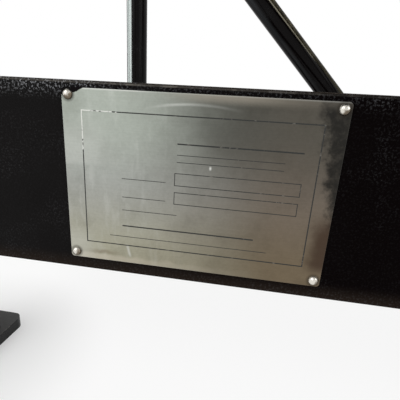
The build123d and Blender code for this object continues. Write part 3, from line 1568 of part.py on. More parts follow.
# Motor shaft carrying its rotor core
fan_top = fan_end_bottom - fan_gap
fan_bottom = fan_top - fan_hub_height
core_bottom = motor_mid - motor_core_length / 2
core_top = motor_mid + motor_core_length / 2
shaft_r = motor_shaft_d / 2
with BuildPart() as motor_shaft:
    revolve(
        turned(
            [
                (0, fan_bottom),
                (shaft_r, fan_bottom),
                (shaft_r, core_bottom),
                (motor_core_d / 2, core_bottom),
                (motor_core_d / 2, core_top),
                (shaft_r, core_top),
                (shaft_r, sheave_top + motor_shaft_over),
                (0, sheave_top + motor_shaft_over),
            ],
            motor_x,
        ),
        axis=motor_axis,
    )
save(motor_shaft, "motor_shaft")

# Stator ring fixed in the frame
with BuildPart() as stator:
    revolve(
        turned(tube_outline(frame_bore_r, motor_core_d / 2 + free_gap, core_bottom, core_top), motor_x),
        axis=motor_axis,
    )
save(stator, "stator")

# Cooling fan on the lower shaft end
with BuildPart() as motor_fan:
    with BuildSketch(Plane.XY.offset(fan_bottom)):
        with Locations((motor_x, 0)):
            Circle(fan_hub_d / 2)
    extrude(amount=fan_hub_height)
    with BuildSketch(Plane.XY.offset(fan_top - fan_disc_thickness)):
        with Locations((motor_x, 0)):
            Circle(fan_d / 2)
    extrude(amount=fan_disc_thickness)
    with BuildSketch(Plane.XY.offset(fan_bottom)):
        with Locations((motor_x, 0)):
            with PolarLocations(fan_d / 4, fan_blade_count):
                Rectangle(fan_d / 2, fan_blade_thickness)
            Circle(fan_d / 2, mode=Mode.INTERSECT)
    extrude(amount=fan_hub_height)
    with BuildSketch(Plane.XY.offset(fan_bottom)):
        with Locations((motor_x, 0)):
            Circle(shaft_r)
    extrude(amount=fan_hub_height, mode=Mode.SUBTRACT)
save(motor_fan, "motor_fan")

# Fan cover sleeved over the fan end, with rings of air slots in its floor
fan_cover_top = fan_end_bottom + fan_cover_lap
fan_cover_bottom = fan_cover_top - fan_cover_height
fan_cover_r = end_r + fan_cover_wall
ring_step = (end_r - fan_hub_d / 2) / (fan_cover_slot_rings + 1)
with BuildPart() as fan_cover:
    revolve(
        turned(
            [
                (0, fan_cover_bottom),
                (fan_cover_r - fan_cover_chamfer, fan_cover_bottom),
                (fan_cover_r, fan_cover_bottom + fan_cover_chamfer),
                (fan_cover_r, fan_cover_top),
                (end_r, fan_cover_top),
                (end_r, fan_cover_bottom + fan_cover_chamfer),
                (fan_cover_r - fan_cover_chamfer, fan_cover_bottom + fan_cover_wall),
                (0, fan_cover_bottom + fan_cover_wall),
            ],
            motor_x,
        ),
        axis=motor_axis,
    )
    with BuildSketch(Plane.XY.offset(fan_cover_bottom)):
        with Locations((motor_x, 0)):
            for ring in range(fan_cover_slot_rings):
                ring_r = fan_hub_d / 2 + (ring + 0.5) * ring_step
                Circle(ring_r + fan_cover_slot_width / 2)
                Circle(ring_r - fan_cover_slot_width / 2, mode=Mode.SUBTRACT)
            spoke_turn = 180 / fan_cover_spoke_count
            with PolarLocations(end_r / 2, fan_cover_spoke_count, start_angle=spoke_turn):
                Rectangle(end_r, fan_cover_spoke_width, mode=Mode.SUBTRACT)
    extrude(amount=fan_cover_wall, mode=Mode.SUBTRACT)
save(fan_cover, "fan_cover")

# Conduit box on the frame boss, its cover and the cable gland in its right-hand side
box_back = boss_face_y
box_front = box_back - conduit_depth
gland_y = (box_back + box_front) / 2
gland_plane = Plane((motor_x + conduit_width / 2, gland_y, conduit_z), x_dir=(0, 1, 0), z_dir=(1, 0, 0))
with BuildPart() as conduit_box:
    with Locations((motor_x, gland_y, conduit_z)):
        Box(conduit_width, conduit_depth, conduit_height)
    with Locations((motor_x, gland_y - conduit_wall, conduit_z)):
        Box(
            conduit_width - 2 * conduit_wall,
            conduit_depth,
            conduit_height - 2 * conduit_wall,
            mode=Mode.SUBTRACT,
        )
    with BuildSketch(gland_plane):
        Circle(gland_d / 2)
    extrude(amount=-conduit_wall, mode=Mode.SUBTRACT)
save(conduit_box, "conduit_box")

with BuildPart() as conduit_cover:
    with Locations((motor_x, box_front - conduit_cover_thickness / 2, conduit_z)):
        Box(conduit_width, conduit_cover_thickness, conduit_height)
    fillet(conduit_cover.edges().filter_by(Axis.Y), conduit_corner_radius)
save(conduit_cover, "conduit_cover")

with BuildPart() as cable_gland:
    with BuildSketch(gland_plane):
        RegularPolygon(gland_flats / 2, 6, major_radius=False)
    extrude(amount=gland_nut_length)
    with BuildSketch(gland_plane.offset(gland_nut_length)):
        Circle(gland_d / 2)
    extrude(amount=gland_body_length)
    with BuildSketch(gland_plane):
        Circle(gland_d / 2)
    extrude(amount=-conduit_wall)
    with BuildSketch(gland_plane.offset(-conduit_wall)):
        Circle(gland_bore_d / 2)
    extrude(amount=conduit_wall + gland_nut_length + gland_body_length, mode=Mode.SUBTRACT)
save(cable_gland, "cable_gland")
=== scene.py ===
from contextlib import contextmanager
from functools import partialmethod
from math import asin, cos, hypot, pi, radians, sin, sqrt

import bmesh
import bpy
from mathutils import Matrix, Quaternion, Vector


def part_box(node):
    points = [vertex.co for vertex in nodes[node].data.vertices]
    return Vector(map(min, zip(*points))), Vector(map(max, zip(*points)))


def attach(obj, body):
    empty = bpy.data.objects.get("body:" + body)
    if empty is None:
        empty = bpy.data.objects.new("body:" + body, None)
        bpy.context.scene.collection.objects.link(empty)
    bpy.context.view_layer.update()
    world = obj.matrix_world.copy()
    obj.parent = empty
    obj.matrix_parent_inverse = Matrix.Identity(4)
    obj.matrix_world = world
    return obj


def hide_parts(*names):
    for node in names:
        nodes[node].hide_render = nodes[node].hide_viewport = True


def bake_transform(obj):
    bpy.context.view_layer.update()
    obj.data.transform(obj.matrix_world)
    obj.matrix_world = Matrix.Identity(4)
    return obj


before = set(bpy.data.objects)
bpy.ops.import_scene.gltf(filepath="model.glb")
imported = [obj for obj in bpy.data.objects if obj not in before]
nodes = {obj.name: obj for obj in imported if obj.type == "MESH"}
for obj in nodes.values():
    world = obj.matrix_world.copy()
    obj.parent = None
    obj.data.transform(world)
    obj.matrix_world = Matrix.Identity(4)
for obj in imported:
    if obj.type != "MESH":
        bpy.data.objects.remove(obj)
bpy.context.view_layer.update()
scene = bpy.context.scene
scene.view_settings.view_transform = "Standard"
bpy.ops.object.select_all(action="DESELECT")

# Floor and surround. A plain pale floor under the feet and a white room around the machine. Both
# look white in the picture and in reflections; the floor keeps the shadow and fades to white far off.
FLOOR_REACH = 14.0
FLOOR_COLOUR = (0.92, 0.92, 0.91)
FLOOR_GLOW_NEAR = 0.86
FLOOR_NEAR = 0.9
FLOOR_FAR = 4.5
FOOT_GLOW = 0.40
FOOT_NEAR = 0.04
FOOT_FAR = 0.15
ROOM_LIGHT = 0.70
ROOM_CEILING = 0.50
ROOM_WHITE = (1.0, 1.0, 1.0)


class Shading:
    """A tree of shader nodes, with short ways to add nodes and feed their inputs."""

    def __init__(self, tree):
        self.tree = tree
        self.coords = self.node("TexCoord")

    def give(self, socket, value):
        """Feed an input from another node, or set it to a plain number, place or colour."""
        if isinstance(value, bpy.types.NodeSocket):
            self.tree.links.new(value, socket)
        elif isinstance(value, tuple):
            socket.default_value = (*value, 1.0)
        else:
            socket.default_value = value

    def node(self, kind, inputs=None, **settings):
        """Add a node, change its settings, feed its inputs and give back its outputs."""
        made = self.tree.nodes.new(f"ShaderNode{kind}")
        for name, value in settings.items():
            setattr(made, name, value)
        for place, value in (inputs or {}).items():
            self.give(made.inputs[place], value)
        return made.outputs

    def calc(self, operation, first, second=0.0):
        """One arithmetic step on two values."""
        return self.node("Math", {0: first, 1: second}, operation=operation)[0]

    def chain(self, operation, *values):
        """The same arithmetic step along a row of values."""
        total = values[0]
        for value in values[1:]:
            total = self.calc(operation, total, value)
        return total

    times = partialmethod(chain, "MULTIPLY")
    plus = partialmethod(chain, "ADD")
    minus = partialmethod(chain, "SUBTRACT")
    most = partialmethod(chain, "MAXIMUM")

    def axis(self, name, source="Object"):
        """One coordinate of the surface point, or of its normal or direction."""
        return self.node("SeparateXYZ", {0: self.coords[source]})[name]

    def span(self, value, low, high, start=0.0, end=1.0):
        """A smooth step from start to end while the value goes from low to high."""
        ends = {"Value": value, "From Min": low, "From Max": high, "To Min": start, "To Max": end}
        return self.node("MapRange", ends, interpolation_type="SMOOTHSTEP")["Result"]

    def rays(self, *kinds):
        """1 for light paths of any of the given kinds, and 0 for the rest."""
        path = self.node("LightPath")
        return self.most(*[path[f"Is {kind} Ray"] for kind in kinds])


bpy.ops.mesh.primitive_plane_add(size=FLOOR_REACH)
floor = bpy.context.object
floor.name = "floor"
floor_paint = bpy.data.materials.new("pale_floor")
floor_paint.use_nodes = True
ground = Shading(floor_paint.node_tree)
ground.tree.nodes.remove(ground.tree.nodes["Principled BSDF"])
one_quarter = ground.node("VectorMath", {0: ground.coords["Object"]}, operation="ABSOLUTE")[0]
leg_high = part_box("legs")[1]
foot_corner = Vector((leg_high.x, leg_high.y, 0.0))
whiteness = ground.rays("Camera", "Glossy", "Transmission")
for corner, near, far, shine in (
    (Vector(), FLOOR_NEAR, FLOOR_FAR, FLOOR_GLOW_NEAR),
    (foot_corner, FOOT_NEAR, FOOT_FAR, FOOT_GLOW),
):
    gap = ground.node("VectorMath", {0: one_quarter, 1: corner}, operation="DISTANCE")["Value"]
    whiteness = ground.times(whiteness, ground.span(gap, near, far, shine, 1.0))
matt = ground.node("BsdfDiffuse", {"Color": FLOOR_COLOUR})[0]
glow = ground.node("Emission")[0]
both = ground.node("MixShader", {0: whiteness, 1: matt, 2: glow})[0]
ground.give(ground.tree.nodes["Material Output"].inputs["Surface"], both)
floor.data.materials.append(floor_paint)

room = bpy.data.worlds.new("white_room")
room.use_nodes = True
scene.world = room
air = Shading(room.node_tree)
sky = air.tree.nodes["Background"].inputs
ceiling = air.span(air.axis("Z", "Generated"), 0.0, 1.0, 1.0, ROOM_CEILING)
level = air.span(air.rays("Glossy", "Transmission"), 0.0, 1.0, ROOM_LIGHT, ceiling)
air.give(sky["Color"], ROOM_WHITE)
air.give(sky["Strength"], air.span(air.rays("Camera"), 0.0, 1.0, level, 1.0))

# Lamps. Three large soft panels: a main one high on the left in front, a weaker one on the right and
# one behind. Four more show only in the gloss of the painted tubes, as bright lines and a dim sheen.
# Each panel: name, place, aim, width and height, power, and for some roll and spread in degrees.
PANELS = (
    ("main_panel", (-1.7, -2.3, 2.3), (0.0, 0.0, 0.6), (2.6, 2.6), 30.0),
    ("side_panel", (2.4, -1.4, 1.5), (0.0, 0.0, 0.6), (2.0, 2.0), 14.0),
    ("back_panel", (-1.3, 2.6, 1.8), (0.0, 0.0, 0.6), (2.2, 2.2), 20.0),
)
TUBES = ("legs", "rear_brace", "side_brace")
LEG_RIM = ("leg_rim", (-1.9, -0.17, 0.75), (0.0, -0.17, 0.75), (1.9, 0.9), 110.0)
LEG_LINE = ("leg_line", (-1.7, -0.76, 0.72), (0.0, -0.76, 0.72), (1.1, 0.8), 152.0)
BRACE_LINE = ("brace_line", (0.100, 0.107, 0.513), (0.002, 0.201, 0.367), (0.23, 0.045), 0.042, -51.0, 40.0)
BRACE_SHEEN = ("brace_sheen", (-0.116, 0.159, 0.250), (0.024, 0.185, 0.298), (0.20, 0.34), 0.10, 17.0, 70.0)
GLOSS_COLOUR = (0.90, 1.0, 0.97)
GLOSS_LINES = (
    (LEG_RIM, GLOSS_COLOUR, TUBES),
    (LEG_LINE, GLOSS_COLOUR, TUBES),
    (BRACE_LINE, (1.0, 0.93, 0.70), ("rear_brace",)),
    (BRACE_SHEEN, (0.86, 0.95, 1.0), ("rear_brace",)),
)


def soft_panel(name, place, aim, size, power, roll=0.0, spread=180.0):
    """A flat lamp that faces a point, rolled by some degrees and unseen by the camera."""
    turn = (Vector(aim) - Vector(place)).to_track_quat("-Z", "Y")
    turn = turn @ Quaternion((0.0, 0.0, 1.0), radians(roll))
    bpy.ops.object.light_add(type="AREA", location=place, rotation=turn.to_euler())
    lamp = bpy.context.object
    lamp.name = name
    lamp.data.shape = "RECTANGLE"
    lamp.data.size, lamp.data.size_y = size
    lamp.data.energy = power
    lamp.data.spread = radians(spread)
    lamp.visible_camera = False
    return lamp


for panel in PANELS:
    soft_panel(*panel)
for panel, colour, lit_parts in GLOSS_LINES:
    lamp = soft_panel(*panel)
    lamp.data.color = colour
    lamp.visible_diffuse = False
    lit = bpy.data.collections.new(f"{lamp.name}_parts")
    for name in lit_parts:
        lit.objects.link(nodes[name])
    lamp.light_linking.receiver_collection = lit

# Camera. It stands close in front of the front rail, a little above it and left of the middle
# of the machine, tipped down and slightly rolled, with a wide lens.
CAMERA_PLACE = (-0.05341, -0.39981, 0.21126)
CAMERA_TURN = (73.68, -3.377, 8.54)
CAMERA_LENS = 27.0
CAMERA_SENSOR = 36.0
CAMERA_NEAR = 0.01
bpy.ops.object.camera_add(location=CAMERA_PLACE, rotation=[radians(angle) for angle in CAMERA_TURN])
camera = bpy.context.object
camera.name = "camera"
camera.data.lens = CAMERA_LENS
camera.data.sensor_width = CAMERA_SENSOR
camera.data.clip_start = CAMERA_NEAR
scene.camera = camera

# Stand. Tube legs on foot plates, a ring of flat bars, two tube braces and the bed plate, all
# mild steel, welded up and sprayed gloss black; dust sits on the edges and upper sides. The paint also
# carries painted light: lighter to the left, glints among the specks, a sheen on the tubes' upper sides.
PAINT_DARK = (0.0022, 0.0012, 0.0013)
# Lighter tone for the left of the bars and bed: painted light from the left.
PAINT_LIT_LEFT = (0.0092, 0.0086, 0.0086)
PAINT_BROWN = (0.0190, 0.0130, 0.0098)
PAINT_SPECK_AND_GLINT = (0.270, 0.275, 0.288)
# Each dust: colour, share, slope where it starts to lie, detail of its drifts. On the tubes the dust
# on the upper sides is also a painted sheen.
TUBE_DUST_AND_SHEEN = ((0.116, 0.102, 0.056), 0.55, 0.29, 2.0)
BAR_DUST = ((0.062, 0.051, 0.040), 0.60, 0.55, 7.0)
BED_DUST = ((0.070, 0.066, 0.060), 0.45, 0.70, 7.0)
TUBE_GRIT = 0.000004
BAR_GRIT = 0.00010
# Bare steel on rubbed edges, also used for a painted highlight line under the upper edge of the bars.
PAINT_BARE_AND_HIGHLIGHT = (0.170, 0.155, 0.135)
EDGE_DUST_REACH = 0.012
ARRIS_DROP = 0.0012
ARRIS_REACH = 0.0008
FLAT_BARS = ("front_rail", "rear_rail", "side_rails")
PLATES = ("bed_plate", "bed_rails", "foot_plates")


class Finish(Shading):
    """A surface finish that reads Object coordinates, with sizes in metres."""

    def __init__(self, name, colour, metallic=0.0, specular=0.5):
        self.material = bpy.data.materials.new(name)
        self.material.use_nodes = True
        super().__init__(self.material.node_tree)
        self.colour = colour
        self.shader = self.tree.nodes["Principled BSDF"].inputs
        self.give(self.shader["Metallic"], metallic)
        self.give(self.shader["Specular IOR Level"], specular)

    def surface(self, **values):
        """Set the shader's colour, and other inputs by their names."""
        self.give(self.shader["Base Color"], self.colour)
        for name, value in values.items():
            self.give(self.shader[name], value)

    def noise(self, size, detail=3.0, lump=0.55, stretch=(1.0, 1.0, 1.0), shift=0.0):
        """Cloudy noise with lumps of about the given size, drawn out along an axis by stretch."""
        scale = Vector([1.0 / (size * share) for share in stretch])
        move = Vector((shift, shift, shift))
        place = self.node("Mapping", {"Vector": self.coords["Object"], "Scale": scale, "Location": move})[0]
        inputs = {"Vector": place, "Scale": 1.0, "Detail": detail, "Roughness": lump}
        return self.node("TexNoise", inputs)["Fac"]

    def patches(self, size, low, high, start=0.0, end=1.0, **kind):
        """Noise as patches: start where it is below low, end where it is above high."""
        return self.span(self.noise(size, **kind), low, high, start, end)

    def spans(self, *rows):
        """Several smooth steps multiplied together."""
        return self.times(*[self.span(*row) for row in rows])

    def near(self, value, middle, reach):
        """1 where the value is at the middle, falling to 0 at the given reach from it."""
        return self.span(self.calc("ABSOLUTE", self.minus(value, middle)), reach, 0.0)

    def blend(self, share, first, second, kind="MIX"):
        """A colour between two others, or the first one multiplied by the second."""
        return self.node("Mix", {0: share, 6: first, 7: second}, data_type="RGBA", blend_type=kind)[2]

    def coat(self, share, tone, kind="MIX"):
        """Lay another tone over the colour so far, in the given share."""
        self.colour = self.blend(share, self.colour, tone, kind)

    def edges(self, reach):
        """1 along sharp edges and corners, 0 on the flats."""
        rounded = self.node("Bevel", {"Radius": reach}, samples=4)[0]
        flat = self.node("NewGeometry")["Normal"]
        match = self.node("VectorMath", {0: rounded, 1: flat}, operation="DOT_PRODUCT")["Value"]
        return self.span(match, 0.995, 0.90)

    def relief(self, height, depth, below=None):
        """Small unevenness of the surface, of the given depth, on top of an earlier one."""
        inputs = {"Distance": depth, "Height": height}
        if below is not None:
            inputs["Normal"] = below
        return self.node("Bump", inputs)[0]


def dress(names, finish):
    """Give carried-over parts their finish."""
    for name in names:
        nodes[name].data.materials.clear()
        nodes[name].data.materials.append(finish.material)


def black_paint(name, lit_left_tone, dust, grit, specular, gloss=0.24, margins=(), worn_edges=False):
    """Black paint, lighter to the left as painted light and brown in places, crinkled, with specks that are
    partly painted glints, dust that on the tubes is also a painted sheen, a painted highlight under the
    upper edge and rubbed edges.
    """
    paint = Finish(name, lit_left_tone, specular=specular)
    dust_colour, dust_share, dust_slope, dust_detail = dust
    # Lighter towards the left and darker to the right: painted light falling from the left.
    aside = paint.plus(paint.axis("X"), paint.times(paint.noise(0.05, detail=4.0), 0.16))
    paint.coat(paint.span(aside, -0.12, 0.10), PAINT_DARK)
    # Tone on faces that look up: dust, and on the tubes also a painted sheen.
    upper = paint.span(paint.axis("Z", "Normal"), dust_slope, dust_slope + 0.18)
    drifts = paint.patches(0.020, 0.20, 0.70, 0.35, 1.0, detail=dust_detail, lump=0.62)
    settled = paint.times(upper, drifts)
    paint.coat(paint.times(settled, dust_share), dust_colour)
    # Pale specks on the crinkle: partly dust specks, partly painted glints of light on the paint's lumps,
    # crowded along the upper edge.
    crinkle = paint.noise(0.0012, detail=3.0, lump=0.65, shift=3.7)
    specks_and_glints = paint.span(crinkle, 0.51, 0.64)
    share = paint.patches(0.03, 0.5, 0.75, 0.01, 0.06, shift=9.1)
    for height, left_end, right_end, strength, brown in margins:
        edge = paint.near(paint.axis("Z"), height, EDGE_DUST_REACH)
        paint.coat(paint.times(edge, brown), PAINT_BROWN)
        crowd = paint.span(paint.axis("X"), right_end, left_end, 0.18, 1.0)
        patches = paint.patches(0.016, 0.30, 0.60, 0.4, 1.0, shift=5.2)
        share = paint.most(share, paint.times(edge, crowd, patches, strength))
    specks_and_glints = paint.times(specks_and_glints, share)
    paint.coat(specks_and_glints, PAINT_SPECK_AND_GLINT)
    dullness = paint.most(specks_and_glints, paint.times(settled, dust_share))
    rubbed = paint.patches(0.008, 0.50, 0.62, detail=5.0, shift=6.3)
    if worn_edges:
        paint.coat(paint.times(rubbed, paint.edges(0.0014)), PAINT_BARE_AND_HIGHLIGHT)
    # A pale line just under the upper edge, brightest on the left: rubbed paint and a painted highlight
    # along the edge.
    if margins:
        arris_wear_and_highlight = paint.times(
            paint.near(paint.axis("Z"), margins[-1][0] - ARRIS_DROP, ARRIS_REACH),
            paint.span(paint.axis("X"), 0.02, -0.12, 0.15, 0.75),
            paint.span(rubbed, 0.0, 1.0, 0.45, 1.0),
        )
        paint.coat(arris_wear_and_highlight, PAINT_BARE_AND_HIGHLIGHT)
    peel = paint.relief(paint.noise(0.0030, detail=2.0, shift=1.3), 0.8 * grit)
    rough = paint.span(dullness, 0.0, 1.0, gloss, 0.75)
    paint.surface(Roughness=rough, Normal=paint.relief(crinkle, grit, peel))
    return paint


rail_low, rail_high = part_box("front_rail")
# Each margin: height, X where its specks and painted glints are thickest and thinnest, their share, share
# of brown.
rail_margins = (
    (rail_low.z, -0.40, -0.20, 0.40, 0.85),
    (rail_high.z, -0.155, -0.105, 0.95, 0.0),
)
tube_paint = black_paint("tube_paint", PAINT_DARK, TUBE_DUST_AND_SHEEN, TUBE_GRIT, specular=0.08, gloss=0.14)
bar_paint = black_paint(
    "flat_bar_paint", PAINT_LIT_LEFT, BAR_DUST, BAR_GRIT, specular=0.012, margins=rail_margins
)
bed_paint = black_paint("bed_paint", PAINT_LIT_LEFT, BED_DUST, BAR_GRIT, specular=0.20, worn_edges=True)
dress(TUBES, tube_paint)
dress(FLAT_BARS, bar_paint)
dress(PLATES, bed_paint)

# Stand welds. Rippled beads that hold the legs to the feet, the bed, the flat bars and the braces,
# laid by hand and sprayed over with the rest of the stand.
BEAD_STEP = 0.0018
BEAD_SIDES = 8
BEAD_RIPPLE = 0.0005
BEAD_SEED = 3
LEG_RADIUS = 0.01905
LEG_BEAD = 0.0040
RAIL_BEAD = 0.0030
RAIL_BEAD_ASIDE = 0.0062
BRACE_BEAD = 0.0032
REAR_BRACE_ENDS = ((-0.275, 0.212, 0.6384), (0.275, 0.212, 0.0682))
SIDE_BRACE_ENDS = ((0.275, 0.212, 0.592), (0.275, -0.212, 0.150))
UP = Vector((0.0, 0.0, 1.0))
SMOOTH_ANGLE = radians(38)


def select_only(*pieces):
    """Select these pieces and nothing else, with the first one active."""
    bpy.ops.object.select_all(action="DESELECT")
    for piece in reversed(pieces):
        piece.select_set(True)
        bpy.context.view_layer.objects.active = piece


@contextmanager
def editing(part=None, chosen=None):
    """Edit mode on the active piece, with all of it selected or the parts of one kind that pass a test."""
    bpy.ops.object.mode_set(mode="EDIT")
    bpy.ops.mesh.select_all(action="DESELECT" if part else "SELECT")
    if part:
        bpy.ops.mesh.select_mode(type=part)
        mesh = bpy.context.object.data
        shape = bmesh.from_edit_mesh(mesh)
        for item in {"VERT": shape.verts, "EDGE": shape.edges, "FACE": shape.faces}[part]:
            item.select_set(chosen(item))
        bmesh.update_edit_mesh(mesh)
    yield
    bpy.ops.object.mode_set(mode="OBJECT")


def roughen(piece, depth):
    """Ripple the surface of the active piece by moving its points in and out at random."""
    with editing():
        bpy.ops.transform.vertex_random(offset=depth, uniform=0.0, normal=1.0, seed=BEAD_SEED)
    return piece


def ring_bead(middle, radius, thickness):
    """A weld bead all round a tube, lying level."""
    bpy.ops.mesh.primitive_torus_add(
        location=middle,
        major_radius=radius,
        minor_radius=thickness,
        major_segments=int(2 * pi * radius / BEAD_STEP),
        minor_segments=BEAD_SIDES,
    )
    return roughen(bpy.context.object, BEAD_RIPPLE)


def rod_bead(start, end, thickness):
    """A straight weld bead from one point to another."""
    run = Vector(end) - Vector(start)
    turn = run.to_track_quat("Z", "Y").to_euler()
    middle = (Vector(start) + Vector(end)) / 2
    bpy.ops.mesh.primitive_cylinder_add(
        vertices=BEAD_SIDES, radius=thickness, depth=run.length, location=middle, rotation=turn
    )
    rod = bpy.context.object
    with editing("EDGE", lambda edge: abs(edge.verts[0].co.z - edge.verts[1].co.z) > run.length / 2):
        bpy.ops.mesh.subdivide(number_cuts=int(run.length / BEAD_STEP))
    return roughen(rod, BEAD_RIPPLE)


def copies(piece, moves):
    """Copies of a piece with their own meshes, each moved by a matrix, in place of the piece itself."""
    made = []
    for move in moves:
        other = piece.copy()
        other.data = piece.data.copy()
        other.matrix_basis = move @ piece.matrix_basis
        bpy.context.collection.objects.link(other)
        made.append(other)
    bpy.data.objects.remove(piece)
    return made


def shifted(piece, shifts):
    """Copies of a piece that are moved without a turn, in place of the piece itself."""
    return copies(piece, [Matrix.Translation(shift) for shift in shifts])


def keep_side(piece, point, direction):
    """Cut a piece through a point and keep the part that lies in the given direction."""
    select_only(piece)
    bpy.ops.object.transform_apply()
    with editing():
        bpy.ops.mesh.bisect(plane_co=point, plane_no=direction, use_fill=True, clear_inner=True)
    return piece


def brace_beads(joint, far):
    """Two half beads where a brace meets a leg of its own size: tubes that cross so share ellipses."""
    joint = Vector(joint)
    along = (Vector(far) - joint).normalized()
    aside = UP.cross(along).normalized()
    outward = (along - along.dot(UP) * UP).normalized()
    halves = []
    for normal in ((UP + along).normalized(), (UP - along).normalized()):
        bead = ring_bead((0.0, 0.0, 0.0), LEG_RADIUS, BRACE_BEAD)
        long_way = aside.cross(normal)
        turn = Matrix((long_way, aside, normal)).transposed().to_4x4()
        stretch = Matrix.Diagonal((1 / abs(normal.dot(UP)), 1.0, 1.0, 1.0))
        bead.matrix_world = Matrix.Translation(joint) @ turn @ stretch
        halves.append(keep_side(bead, joint, outward))
    return halves


def finished(pieces, name, finish):
    """Join pieces into one, put its place in its mesh, shade it and give it its name and finish."""
    select_only(*pieces)
    if len(pieces) > 1:
        bpy.ops.object.join()
    bpy.ops.object.transform_apply()
    bpy.ops.object.shade_smooth_by_angle(angle=SMOOTH_ANGLE)
    whole = pieces[0]
    whole.name = name
    whole.data.name = name
    whole.data.materials.clear()
    whole.data.materials.append(finish.material)
    return whole


def settle(pieces, name, finish, body):
    """Join and finish pieces that ride on one body."""
    piece = finished(pieces, name, finish)
    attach(piece, body)


leg_x = leg_high.x - LEG_RADIUS
leg_y = leg_high.y - LEG_RADIUS
foot_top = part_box("foot_plates")[1].z
bed_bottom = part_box("bed_plate")[0].z
ring_places = [
    (across, along, height)
    for across in (leg_x, -leg_x)
    for along in (leg_y, -leg_y)
    for height in (foot_top, bed_bottom)
]
stand_beads = shifted(ring_bead((0.0, 0.0, 0.0), LEG_RADIUS, LEG_BEAD), ring_places)
bar_bottom = rail_low.z + RAIL_BEAD
bar_top = rail_high.z - RAIL_BEAD
rod_places = []
for side in (-1, 1):
    for end in (-1, 1):
        for aside in (-RAIL_BEAD_ASIDE, RAIL_BEAD_ASIDE):
            rod_places.append((side * leg_x + aside, end * leg_high.y, 0.0))
            rod_places.append((side * leg_high.x, end * leg_y + aside, 0.0))
stand_beads += shifted(rod_bead((0.0, 0.0, bar_bottom), (0.0, 0.0, bar_top), RAIL_BEAD), rod_places)
for ends in (REAR_BRACE_ENDS, SIDE_BRACE_ENDS):
    stand_beads += brace_beads(ends[0], ends[1])
    stand_beads += brace_beads(ends[1], ends[0])
settle(stand_beads, "stand_welds", bed_paint, "frame")

# Nameplate. A thin brushed steel plate on the front rail: bright on the left and dark towards the right,
# partly wiping and tarnish and partly a painted reflection, warm with old grease low down, and stained
# and rusted along its right edge.
PLATE_BRIGHT = (0.426, 0.460, 0.410)
PLATE_TARNISH_AND_DARK_REFLECTION = (0.098, 0.096, 0.083)
PLATE_SOFT = (0.396, 0.405, 0.380)
PLATE_DEEP = (0.168, 0.149, 0.125)
PLATE_GREASE = (1.03, 0.97, 0.79)
PLATE_BROWN = (1.05, 0.98, 0.94)
PLATE_SMUDGE = (0.60, 0.60, 0.58)
PLATE_STAIN = (0.022, 0.021, 0.019)
PLATE_RUST = (0.066, 0.043, 0.030)
PLATE_STREAK = (0.180, 0.132, 0.078)
# Pale metal for scuffs and wiping, and for the painted highlights along the plate's edges.
PLATE_SCUFF_AND_HIGHLIGHT = (0.68, 0.69, 0.65)
PLATE_RIM = (0.560, 0.500, 0.410)
PLATE_SCREW_SHADOW_AND_GRIME = (0.034, 0.028, 0.022)
SCREW_INSET = 0.0036


def box_middle(name):
    """The middle of a part's box."""
    low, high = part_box(name)
    return (low + high) / 2


plate_low, plate_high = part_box("nameplate")
plate_middle = box_middle("nameplate")
plate_half = plate_high - plate_middle


def plate_places(finish):
    """Distances to the right of and above the middle of the plate."""
    across = finish.minus(finish.axis("X"), plate_middle.x)
    up = finish.minus(finish.axis("Z"), plate_middle.z)
    return across, up


def plate_tones(steel, across, up, cloud):
    """Bright at the upper left and dark to the right, partly real tarnish and wiping and partly a painted
    reflection; warm low down, smudged and wiped.
    """
    drift = steel.plus(across, steel.times(cloud, 0.024))
    # Darker to the right: partly tarnish, partly a painted reflection of a darker room on that side.
    steel.coat(steel.span(drift, -0.038, 0.040), PLATE_TARNISH_AND_DARK_REFLECTION)
    lower = steel.blend(steel.span(drift, -0.043, 0.062), PLATE_SOFT, PLATE_DEEP)
    steel.coat(steel.span(up, 0.036, -0.012), lower)
    steel.coat(steel.span(up, 0.006, -0.050), PLATE_GREASE, "MULTIPLY")
    steel.coat(steel.span(across, 0.015, 0.055), PLATE_BROWN, "MULTIPLY")
    smudge = steel.patches(0.017, 0.46, 0.74, 0.0, 0.34, detail=6.0, shift=2.2)
    steel.coat(smudge, PLATE_SMUDGE, "MULTIPLY")
    mottle = steel.patches(0.0014, 0.35, 0.65, 0.0, 0.14, detail=3.0, shift=8.8)
    steel.coat(mottle, PLATE_SMUDGE, "MULTIPLY")
    # Bright strokes and a bright band at the upper left: partly wiping, partly a painted reflection of
    # light from there.
    strokes = steel.noise(0.009, detail=4.0, stretch=(0.7, 1.0, 2.8), shift=5.5)
    wiped = steel.spans((strokes, 0.50, 0.72, 0.0, 0.20), (across, 0.010, -0.045))
    band = steel.spans((up, 0.007, 0.011), (up, 0.040, 0.022), (across, -0.036, -0.068, 0.0, 0.26))
    steel.coat(steel.most(wiped, band), PLATE_SCUFF_AND_HIGHLIGHT)


